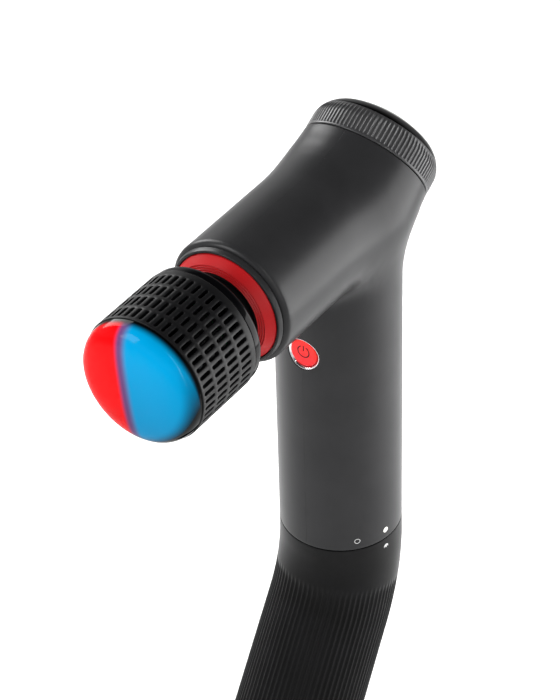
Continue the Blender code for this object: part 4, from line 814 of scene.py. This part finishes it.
def makeDial():
    s = dialSizes
    tubeTop, foot = s["tube"], s["foot"]
    start = math.asin((s["ledge"] - s["radius"] + s["rounding"]) / s["rounding"])
    angle = np.linspace(start, math.pi / 2, 26)
    radius = s["radius"] - s["rounding"] * (1 - np.sin(angle))
    outline = list(zip(radius, capLevel(radius)))
    outline += [(s["radius"], h) for h in np.linspace(outline[-1][1], foot + s["edge"], 24)[1:]]
    short, sunk = quarterRound(s["edge"], 5)
    outline += list(zip(s["radius"] - sunk[1:], foot + short[1:]))
    count = len(outline)
    outline += [(s["bore"], foot), (s["bore"], tubeTop), (s["ledge"], tubeTop),
                (s["ledge"], outline[0][1] - 0.1)]
    outline = np.array(outline)
    steps = s["ribs"] * 10
    turn = np.arange(steps) * 2 * math.pi / steps
    # Thin ridges: the skin sinks by depth * (1 - (0.5 + 0.5 cos(n turn)) ^ 3) along its normal.
    wave = (0.5 + 0.5 * np.cos(turn * s["ribs"])) ** 3
    fade = eased((outline[:, 1] - s["ribFrom"]) / 0.5) * eased((s["ribTo"] - outline[:, 1]) / 2.0)
    fade[count:] = 0
    way = np.gradient(outline, axis=0)
    way /= np.maximum(np.linalg.norm(way, axis=1, keepdims=True), 1e-9)
    sink = s["ribDepth"] * fade[:, None] * (1 - wave[None])
    radius = outline[:, :1] + sink * way[:, 1:]
    height = outline[:, 1:] - sink * way[:, :1]
    points = tailFrame(radius * np.cos(turn), radius * np.sin(turn), height).reshape(-1, 3)
    faces = [gridFaces(len(outline), steps, aroundRows=True, aroundColumns=True)]
    meshPiece("dial_fluted", points, faces, "ribbedGreyAbs", "dial",
              ("dial_ring",), 40.0)
    short, sunk = quarterRound(s["lensRim"], 5)
    flat = np.linspace(0, s["lens"] - s["lensRim"], 30)
    radius = np.concatenate([flat, s["lens"] - short[1:]])
    height = capLevel(radius) - np.concatenate([0 * flat, sunk[1:]])
    seat, inside = tubeTop + foot, tubeTop + s["recessRise"]
    outline = list(zip(radius, height))
    outline += [(s["lens"], seat), (s["recess"], seat), (s["recess"], inside), (0, inside)]
    turnedPiece("window_lens", outline, tailFrame, "smokedAcrylic", "main_body",
                ("display_lens",), closed=False)


makeDial()
print("tail made")


# Power button
buttonSizes = {
    "radius": 5.2, "edge": 0.4, "flange": 6.1, "flangeTop": -2.6, "flangeFoot": -3.5, "face": 21.2,
    "ringInner": 5.34, "ringLow": -0.6, "ringLip": 5.98, "ringOuter": 6.1, "ringSink": 0.25,
    "ringFoot": -2.1, "symbolRise": 0.75, "symbolRadius": 2.25, "symbolLine": 0.25,
    "symbolGap": 27.0, "symbolProud": 0.015, "symbolThick": 0.06, "barEnd": 0.25,
}


def buttonFrame(across, up, out):
    # Out runs forward from the flat face of the button.
    across, up, out = np.broadcast_arrays(across, up, out)
    return np.stack([barrelPlace[0] + across, barrelPlace[1] - buttonSizes["face"] - out,
                     barrelPlace[2] + housingSizes["buttonDrop"] + up], axis=-1)


def makeButton():
    s = buttonSizes
    short, sunk = quarterRound(s["edge"], 6)
    top, foot = s["flangeTop"], s["flangeFoot"]
    outline = [(0, 0), (2, 0), (s["radius"] - s["edge"], 0)]
    outline += list(zip(s["radius"] - short[1:], -sunk[1:]))
    outline += [(s["radius"], top), (s["flange"], top), (s["flange"], foot), (0, foot)]
    turnedPiece("button_cap", outline, buttonFrame, "pearlRedAbs", "button",
                ("power_button",), closed=False, steps=96)
    # Bright lining of the hole: a steep cone whose lip follows the round handle,
    # out = sqrt(R^2 - x^2) - face. A level of None stands for that lip.
    steps, inner, outer, foot = 128, s["ringInner"], s["ringOuter"], s["ringFoot"]
    turn = np.arange(steps) * 2 * math.pi / steps
    rows = []
    for radius, sink, level in ((inner, 0, s["ringLow"]), (s["ringLip"], s["ringSink"], None),
                                (outer, s["ringSink"], None), (outer, 0, foot), (inner, 0, foot)):
        lip = np.sqrt(housingSizes["handleRadius"] ** 2 - (radius * np.cos(turn)) ** 2)
        lip -= s["face"] + sink
        out = lip if level is None else np.minimum(level, lip - 0.15)
        rows.append(buttonFrame(radius * np.cos(turn), radius * np.sin(turn), out))
    meshPiece("button_ring", np.array(rows).reshape(-1, 3),
              [gridFaces(len(rows), steps, aroundRows=True, aroundColumns=True)], "satinNickel",
              "main_body", ("button_bezel",))


def ribbonFaces(count, start):
    # A flat bar of count stations with four corners each, closed at both ends.
    ends = np.array([[3, 2, 1, 0], [4 * count - 4, 4 * count - 3, 4 * count - 2, 4 * count - 1]])
    return np.concatenate([gridFaces(count, 4, aroundColumns=True), ends]) + start


def powerSymbol():
    # Broken ring and bar of the power sign, printed on the button.
    s = buttonSizes
    half, radius, gap = s["symbolLine"], s["symbolRadius"], math.radians(s["symbolGap"])
    arcStations, barStations = 60, 8
    turn = np.linspace(math.pi / 2 + gap, 2.5 * math.pi - gap, arcStations)[:, None]
    levels = np.array([0, 0, -1, -1]) * s["symbolThick"] + s["symbolProud"]
    sides = np.array([-1, 1, 1, -1]) * half
    reach = radius + sides
    arc = buttonFrame(reach * np.cos(turn), reach * np.sin(turn) + s["symbolRise"], levels)
    rise = np.linspace(radius + half, s["barEnd"], barStations)[:, None] + s["symbolRise"]
    bar = buttonFrame(sides, rise, levels)
    points = np.concatenate([arc.reshape(-1, 3), bar.reshape(-1, 3)])
    faces = [ribbonFaces(arcStations, 0), ribbonFaces(barStations, 4 * arcStations)]
    meshPiece("power_symbol", points, faces, "darkRedInk", "button")


powerSymbol()
makeButton()
print("button made")


# Grip: ribbed tube that bends forward and ends on a level foot
gripSizes = {
    "radius": 22.0, "growth": 1.3, "lead": 6.2, "bendRadius": 65.0, "bend": 31.0, "wall": 1.8,
    "flare": 3.0, "flareHeight": 16.0, "floor": 4.5, "foot": 1.5, "footRounding": 1.2, "gap": 0.3,
    "padInset": 3.0, "padEdge": 0.4, "ribs": 72, "ribDepth": 0.38, "ribFrom": 22.0, "ribTo": 27.0,
    "top": 0.15, "edge": 0.25, "seamHeight": 105.0,
    "portWidth": 9.8, "portHeight": 4.0, "portClimb": 15.0, "portPatch": 3.5,
}


def gripLength():
    s = gripSizes
    bend = math.radians(s["bend"])
    down = s["lead"] + s["bendRadius"] * math.sin(bend)
    return s["lead"] + s["bendRadius"] * bend + (s["seamHeight"] - down) / math.cos(bend)


def gripLine(length):
    # Middle line: straight down, an arc of the bend radius, then straight at the bend angle.
    s = gripSizes
    bend = math.radians(s["bend"])
    angle = np.clip((length - s["lead"]) / s["bendRadius"], 0, bend)
    rest = np.clip(length - s["lead"] - s["bendRadius"] * bend, 0, None)
    forward = s["bendRadius"] * (1 - np.cos(angle)) + rest * math.sin(bend)
    down = (np.minimum(length, s["lead"]) + s["bendRadius"] * np.sin(angle) + rest * math.cos(bend))
    return forward, down, angle


def gripSkin(length, turn, inset):
    # point = middle line + radius * (cos turn, sin turn) square to the line; the radius grows
    # towards the foot and flares over the last 16 mm.
    s = gripSizes
    total = gripLength()
    forward, down, angle = gripLine(length)
    height = s["seamHeight"] - down
    for _ in range(3):
        flare = np.clip(1 - height / s["flareHeight"], 0, 1)
        radius = (s["radius"] + s["growth"] * np.clip(length / total, 0, 1)
                  + s["flare"] * flare ** 3 - inset)
        height = s["seamHeight"] - down - radius * np.sin(turn) * np.sin(angle)
    return np.stack([seamPlace[0] + radius * np.cos(turn),
                     seamPlace[1] - forward + radius * np.sin(turn) * np.cos(angle),
                     seamPlace[2] - s["seamHeight"] + height], axis=-1)


def levelLength(height, turn, inset):
    # Length along each line of the straight tube at which it reaches a height above the table.
    s = gripSizes
    bend = math.radians(s["bend"])
    flare = np.clip(1 - height / s["flareHeight"], 0, 1)
    radius = s["radius"] + s["growth"] + s["flare"] * flare ** 3 - inset
    return gripLength() - (height + radius * np.sin(turn) * math.sin(bend)) / math.cos(bend)


def gripPoints(length, turn, inset, ribbed, sunk=0.0):
    # Ribs: the skin sinks by depth * (1 - (0.5 + 0.5 cos(n turn)) ^ 1.6), fading out below the
    # smooth collar, above the foot and round the charging port.
    if not ribbed:
        return gripSkin(length, turn, inset)
    s = gripSizes
    roll = s["edge"] - np.clip(length - s["top"], 0, s["edge"])
    depth = s["edge"] - np.sqrt(np.clip(s["edge"] ** 2 - roll ** 2, 0, None)) + sunk
    across, along = portPlace(length, turn)
    beside = np.maximum(np.abs(across) - s["portWidth"] / 2, np.abs(along) - s["portHeight"] / 2)
    fade = (eased((length - s["ribFrom"]) / (s["ribTo"] - s["ribFrom"]))
            * eased((beside - 0.5) / 1.4)
            * np.clip((levelLength(s["floor"], turn, inset) - length) / 3.0, 0, 1))
    wave = (0.5 + 0.5 * np.cos(turn * s["ribs"])) ** 1.6
    return gripSkin(length, turn, inset + depth + s["ribDepth"] * fade * (1 - wave))


def portPlace(length, turn):
    # Millimetres across and along the skin from the middle of the charging port.
    s = gripSizes
    middle = levelLength(s["portClimb"], math.pi / 2, 0)
    away = (turn - math.pi / 2 + math.pi) % (2 * math.pi) - math.pi
    return away * (s["radius"] + s["growth"]), length - middle


def gripGrid(steps, inset):
    s = gripSizes
    turn = np.arange(steps) * 2 * math.pi / steps
    bend = s["lead"] + s["bendRadius"] * math.radians(s["bend"])
    upper = np.concatenate([s["top"] + closeToEnd(s["edge"]), np.linspace(1.2, bend, 36)])
    share = np.linspace(0, 1, 43)[1:, None]
    lower = bend + share * (levelLength(s["floor"], turn, inset) - bend)
    rows = np.concatenate([np.repeat(upper[:, None], steps, axis=1), lower])
    return rows, np.broadcast_to(turn, rows.shape)


def makeGrip():
    # A block of the grid gives way to rings that run from its border to the port's hole.
    s = gripSizes
    steps = s["ribs"] * 8
    lengths, turns = gripGrid(steps, 0)
    across, along = portPlace(lengths, turns)
    inside = ((np.abs(across) < s["portWidth"] / 2 + s["portPatch"])
              & (np.abs(along) < s["portHeight"] / 2 + s["portPatch"]))
    i, j = np.nonzero(inside)
    i0, i1, j0, j1 = i.min(), i.max(), j.min(), j.max()
    ri = np.concatenate([np.full(j1 - j0, i0), np.arange(i0, i1),
                         np.full(j1 - j0, i1), np.arange(i1, i0, -1)])
    rj = np.concatenate([np.arange(j0, j1), np.full(i1 - i0, j1),
                         np.arange(j1, j0, -1), np.full(i1 - i0, j0)])
    blocks = np.zeros(lengths.shape, bool)
    blocks[i0:i1, j0:j1] = True
    grid = gridFaces(*lengths.shape, aroundColumns=True)
    grid = grid[~blocks[:-1].ravel()]
    across, along = across[ri, rj], along[ri, rj]
    angle = np.arctan2(along / s["portHeight"], across / s["portWidth"])
    # Hole: |x / w| ^ 4 + |y / h| ^ 4 = 1, with a rolled edge.
    corner = [np.sign(f(angle)) * np.sqrt(np.abs(f(angle))) for f in (np.cos, np.sin)]
    short, deep = quarterRound(s["edge"], 5)
    share = np.concatenate([np.linspace(0, 1, 9), np.ones(4)])[:, None]
    wide = np.concatenate([np.full(8, s["edge"]), short])[:, None]
    sunk = np.concatenate([np.zeros(8), deep])[:, None]
    holeX = corner[0] * (s["portWidth"] / 2 + wide)
    holeY = corner[1] * (s["portHeight"] / 2 + wide)
    skins = []
    for inset, ribbed in ((0.0, True), (s["wall"], False)):
        lengths, turns = gripGrid(steps, inset)
        edgeLength, edgeTurn = lengths[ri, rj], turns[ri, rj]
        middle = levelLength(s["portClimb"], math.pi / 2, 0)
        patchLength = (1 - share) * edgeLength + share * (middle + holeY)
        holeTurn = math.pi / 2 + holeX / (s["radius"] + s["growth"])
        patchTurn = (1 - share) * edgeTurn + share * holeTurn
        skins.append(np.concatenate([
            gripPoints(lengths, turns, inset, ribbed).reshape(-1, 3),
            gripPoints(patchLength, patchTurn, inset, ribbed, sunk).reshape(-1, 3)]))
    patch = gridFaces(len(share), len(ri), aroundColumns=True, start=lengths.size)
    both, faces = mergeClose(np.concatenate(skins, axis=1), np.concatenate([grid, patch[:, ::-1]]))
    points, faces = twoSkins(both[:, :3], both[:, 3:], faces)
    meshPiece("grip_ribbed", points, [faces], "ribbedBlackRubber", "battery_grip",
              ("grip_shell",), 40.0)


def levelPiece(name, rows, finish, stands, steps=192):
    # rows are (height, inset) pairs from top to bottom; flat caps close both ends.
    turn = np.arange(steps) * 2 * math.pi / steps
    points = np.array([gripSkin(levelLength(height, turn, inset), turn, inset)
                       for height, inset in rows])
    points[..., 2] = seamPlace[2] - gripSizes["seamHeight"] + np.array(rows)[:, :1]
    centres = points[[0, -1]].mean(axis=1)
    faces = [gridFaces(len(points), steps, aroundColumns=True), endFans(len(points), steps)]
    meshPiece(name, np.concatenate([points.reshape(-1, 3), centres]), faces, finish,
              "battery_grip", (stands,), 40.0)


def makeFoot():
    s = gripSizes
    top, inset, pad = s["floor"] - s["gap"], s["wall"] + s["gap"], s["padInset"]
    short, sunk = quarterRound(s["footRounding"], 8)
    rows = [(top + 2.2, inset), (top, inset), (top, 0.2), (top - 0.2, 0)]
    rows += list(zip(s["foot"] + short, sunk))
    levelPiece("base_cover", rows, "mattBlackAbs", "base_cap")
    short, sunk = quarterRound(s["padEdge"], 5)
    rows = [(s["foot"] - s["gap"], pad), (s["padEdge"], pad)] + list(zip(short, pad + sunk))[1:]
    levelPiece("foot_mat", rows, "nitrileRubber", "foot_pad")


makeGrip()
makeFoot()
print("grip made")


# Marks printed on body and grip
marks = {
    # name: degrees round from the front, height above the seam, radius inside, body, finish, slot
    "mark_locked": (80.0, 4.0, 0.02, "main_body", "naturalAcetal", "pale_plastic"),
    "mark_open": (49.0, 4.0, 0.86, "main_body", "greyInk", "pale_plastic"),
    "mark_grip": (80.5, -4.0, 0.02, "battery_grip", "greyInk", "pale_plastic"),
}
markSizes = {"radius": 1.1, "thick": 0.05, "proud": 0.02, "gripProud": 0.03, "steps": 48}


def printedMark(name, turnDegrees, rise, inner, body, finish, slotName):
    # A thin disc or ring wrapped on the round skin: (arc, height) = r * (cos a, sin a).
    s = markSizes
    surface = housingSizes["handleRadius"] + (s["gripProud"] if body == "battery_grip" else 0)
    angle = np.arange(s["steps"]) * 2 * math.pi / s["steps"]
    rows = []
    for radius, level in ((inner, 0), (s["radius"], 0), (s["radius"], 1), (inner, 1)):
        reach = surface + s["proud"] - level * s["thick"]
        arc = radius * np.cos(angle) / surface + math.radians(turnDegrees)
        place = (reach * np.sin(arc), -reach * np.cos(arc), rise + radius * np.sin(angle))
        rows.append(seamPlace + np.stack(place, axis=-1))
    faces = [gridFaces(4, s["steps"], aroundRows=True, aroundColumns=True)]
    meshPiece(name, np.array(rows).reshape(-1, 3), faces, finish, body)


for name, values in marks.items():
    printedMark(name, *values)
print("marks made")


# Finishes of the solids that stay as they are
slotFinish = {
    "body_plastic": "satinGreyAbs", "black_plastic": "mattBlackAbs",
    "gloss_black": "glossBlackPolycarbonate", "ridged_black": "ribbedBlackRubber",
    "red_plastic": "redAbs", "face_metal": "lacqueredAluminium", "cast_alloy": "castMagnesium",
    "sink_alloy": "blackAnodisedAluminium", "steel": "turnedSteel",
    "winding_copper": "enamelledCopper", "contact_metal": "goldPlate",
    "board": "glassEpoxyBoard", "pale_plastic": "naturalAcetal",
    "ceramic": "whiteAlumina", "cell_wrap": "blueShrinkWrap", "rubber": "nitrileRubber",
    "magnet": "sinteredFerrite",
}
carried = 0
for name, node in frame["nodes"].items():
    if node.hide_render:
        continue
    old = node.data.materials[0].name if node.data.materials and node.data.materials[0] else ""
    finish = next((look for slot, look in slotFinish.items() if old.split(".")[0] == slot), None)
    if finish is None:
        print("no slot for", name, old)
        finish = "mattBlackAbs"
    node.data.materials.clear()
    node.data.materials.append(materials[finish])
    carried += 1
print("solids finished:", carried)


# Floor, light and camera
studio = {"paper": "#f4f4f4", "paperGlow": 0.15,
          # The room's light: full up to one height (sine of the climb), weak above another.
          "fullTo": 0.20, "weakFrom": 0.62, "weak": 0.14, "diffuse": 1.85}


def rayKind(tree, *kinds):
    # 1 for rays of the named kinds, else 0.
    path = addNode(tree, "LightPath")
    found = path.outputs[kinds[0]]
    for kind in kinds[1:]:
        found = addNode(tree, "Math", {"operation": "MAXIMUM"},
                        {0: found, 1: path.outputs[kind]}).outputs[0]
    return found


def makeStage():
    # White paper: matt, and a touch brighter to the eye than the light alone would make it.
    corner = 6.0
    mesh = bpy.data.meshes.new("floor")
    mesh.from_pydata([(-corner, -corner, 0), (corner, -corner, 0), (corner, corner, 0),
                      (-corner, corner, 0)], [], [(0, 1, 2, 3)])
    floor = bpy.data.objects.new("floor", mesh)
    bpy.context.scene.collection.objects.link(floor)
    made, tree, shader, place = newMaterial("whitePaper", {
        "Base Color": studio["paper"], "Roughness": 0.9, "Specular IOR Level": 0.0})
    seen = rayKind(tree, "Is Camera Ray", "Is Glossy Ray", "Is Transmission Ray")
    glow = addNode(tree, "Math", {"operation": "MULTIPLY", 1: studio["paperGlow"]}, {0: seen})
    shader.inputs["Emission Color"].default_value = (1, 1, 1, 1)
    tree.links.new(glow.outputs[0], shader.inputs["Emission Strength"])
    mesh.materials.append(made)


def makeRoom():
    # A white room with a dim ceiling; the camera sees it plain white.
    world = bpy.data.worlds.new("room")
    world.use_nodes = True
    bpy.context.scene.world = world
    tree = world.node_tree
    height = addNode(tree, "SeparateXYZ", links={0: addNode(tree, "TexCoord").outputs["Generated"]})
    shade = addNode(tree, "MapRange", {"interpolation_type": "SMOOTHSTEP",
                                       "From Min": studio["fullTo"], "From Max": studio["weakFrom"],
                                       "To Min": 1.0, "To Max": studio["weak"]},
                    {"Value": height.outputs["Z"]})
    kind = addNode(tree, "MapRange", {"To Min": studio["diffuse"], "To Max": 1.0},
                   {"Value": rayKind(tree, "Is Glossy Ray", "Is Transmission Ray")})
    lit = addNode(tree, "Math", {"operation": "MULTIPLY"},
                  {0: shade.outputs["Result"], 1: kind.outputs["Result"]})
    final = addNode(tree, "Mix", {"data_type": "FLOAT", 3: 1.0},
                    {0: rayKind(tree, "Is Camera Ray"), 2: lit.outputs[0]})
    back = tree.nodes["Background"]
    back.inputs["Color"].default_value = (1, 1, 1, 1)
    tree.links.new(final.outputs[0], back.inputs["Strength"])


lamps = {
    # name: degrees from the front towards the right, metres from the handle, height, degrees it
    # looks up, width, height, watts
    "keyFrontLeft": (-33, 0.80, 0.66, -30, 0.32, 0.52, 6.6),
    "panelBackRight": (130, 0.42, 0.19, 0, 0.30, 0.34, 2.5),
    "stripRight": (66, 0.62, 0.55, -35, 0.05, 0.80, 2.5),
    "panelLeft": (-104, 0.60, 0.52, -20, 0.30, 0.46, 5.2),
}


def placed(side, up, back, place):
    # The matrix of a lamp or camera from its three directions and its place.
    matrix = np.eye(4)
    matrix[:3] = np.stack([side, up, back, place], axis=1)
    return Matrix(matrix.tolist())


def makeLamp(name, around, distance, rise, tilt, width, height, power):
    light = bpy.data.lights.new(name, "AREA")
    light.shape = "RECTANGLE"
    light.size, light.size_y, light.energy = width, height, power
    lamp = bpy.data.objects.new(name, light)
    bpy.context.scene.collection.objects.link(lamp)
    around, tilt = math.radians(around), math.radians(tilt)
    outward = np.array([math.sin(around), -math.cos(around), 0])
    back = outward * math.cos(tilt) - np.array([0, 0, math.sin(tilt)])
    side = np.cross((0, 0, 1), outward)
    lamp.matrix_world = placed(side, np.cross(back, side), back, outward * distance + (0, 0, rise))
    lamp.visible_camera = False


makeStage()
makeRoom()
for name, values in lamps.items():
    makeLamp(name, *values)


photoView = {
    # Fitted to the photograph: degrees round from the front, up and rolled, lens, place in metres.
    "around": 35.46308, "climb": 38.66261, "roll": -1.72127, "lens": 150.46957,
    "place": (0.44003263, -0.60397782, 0.80903371),
}


def makeCamera():
    v = photoView
    around, climb, roll = (math.radians(v[key]) for key in ("around", "climb", "roll"))
    back = np.array([math.sin(around) * math.cos(climb), -math.cos(around) * math.cos(climb),
                     math.sin(climb)])
    right = np.array([math.cos(around), math.sin(around), 0])
    up = np.cross(back, right)
    side = right * math.cos(roll) + up * math.sin(roll)
    top = -right * math.sin(roll) + up * math.cos(roll)
    data = bpy.data.cameras.new("photoCamera")
    data.lens, data.sensor_width = v["lens"], 36.0
    data.clip_start, data.clip_end = 0.05, 50.0
    camera = bpy.data.objects.new("photoCamera", data)
    bpy.context.scene.collection.objects.link(camera)
    camera.matrix_world = placed(side, top, back, v["place"])
    bpy.context.scene.camera = camera


makeCamera()
bpy.context.scene.view_settings.view_transform = "Standard"
bpy.context.view_layer.update()

print("scene done")
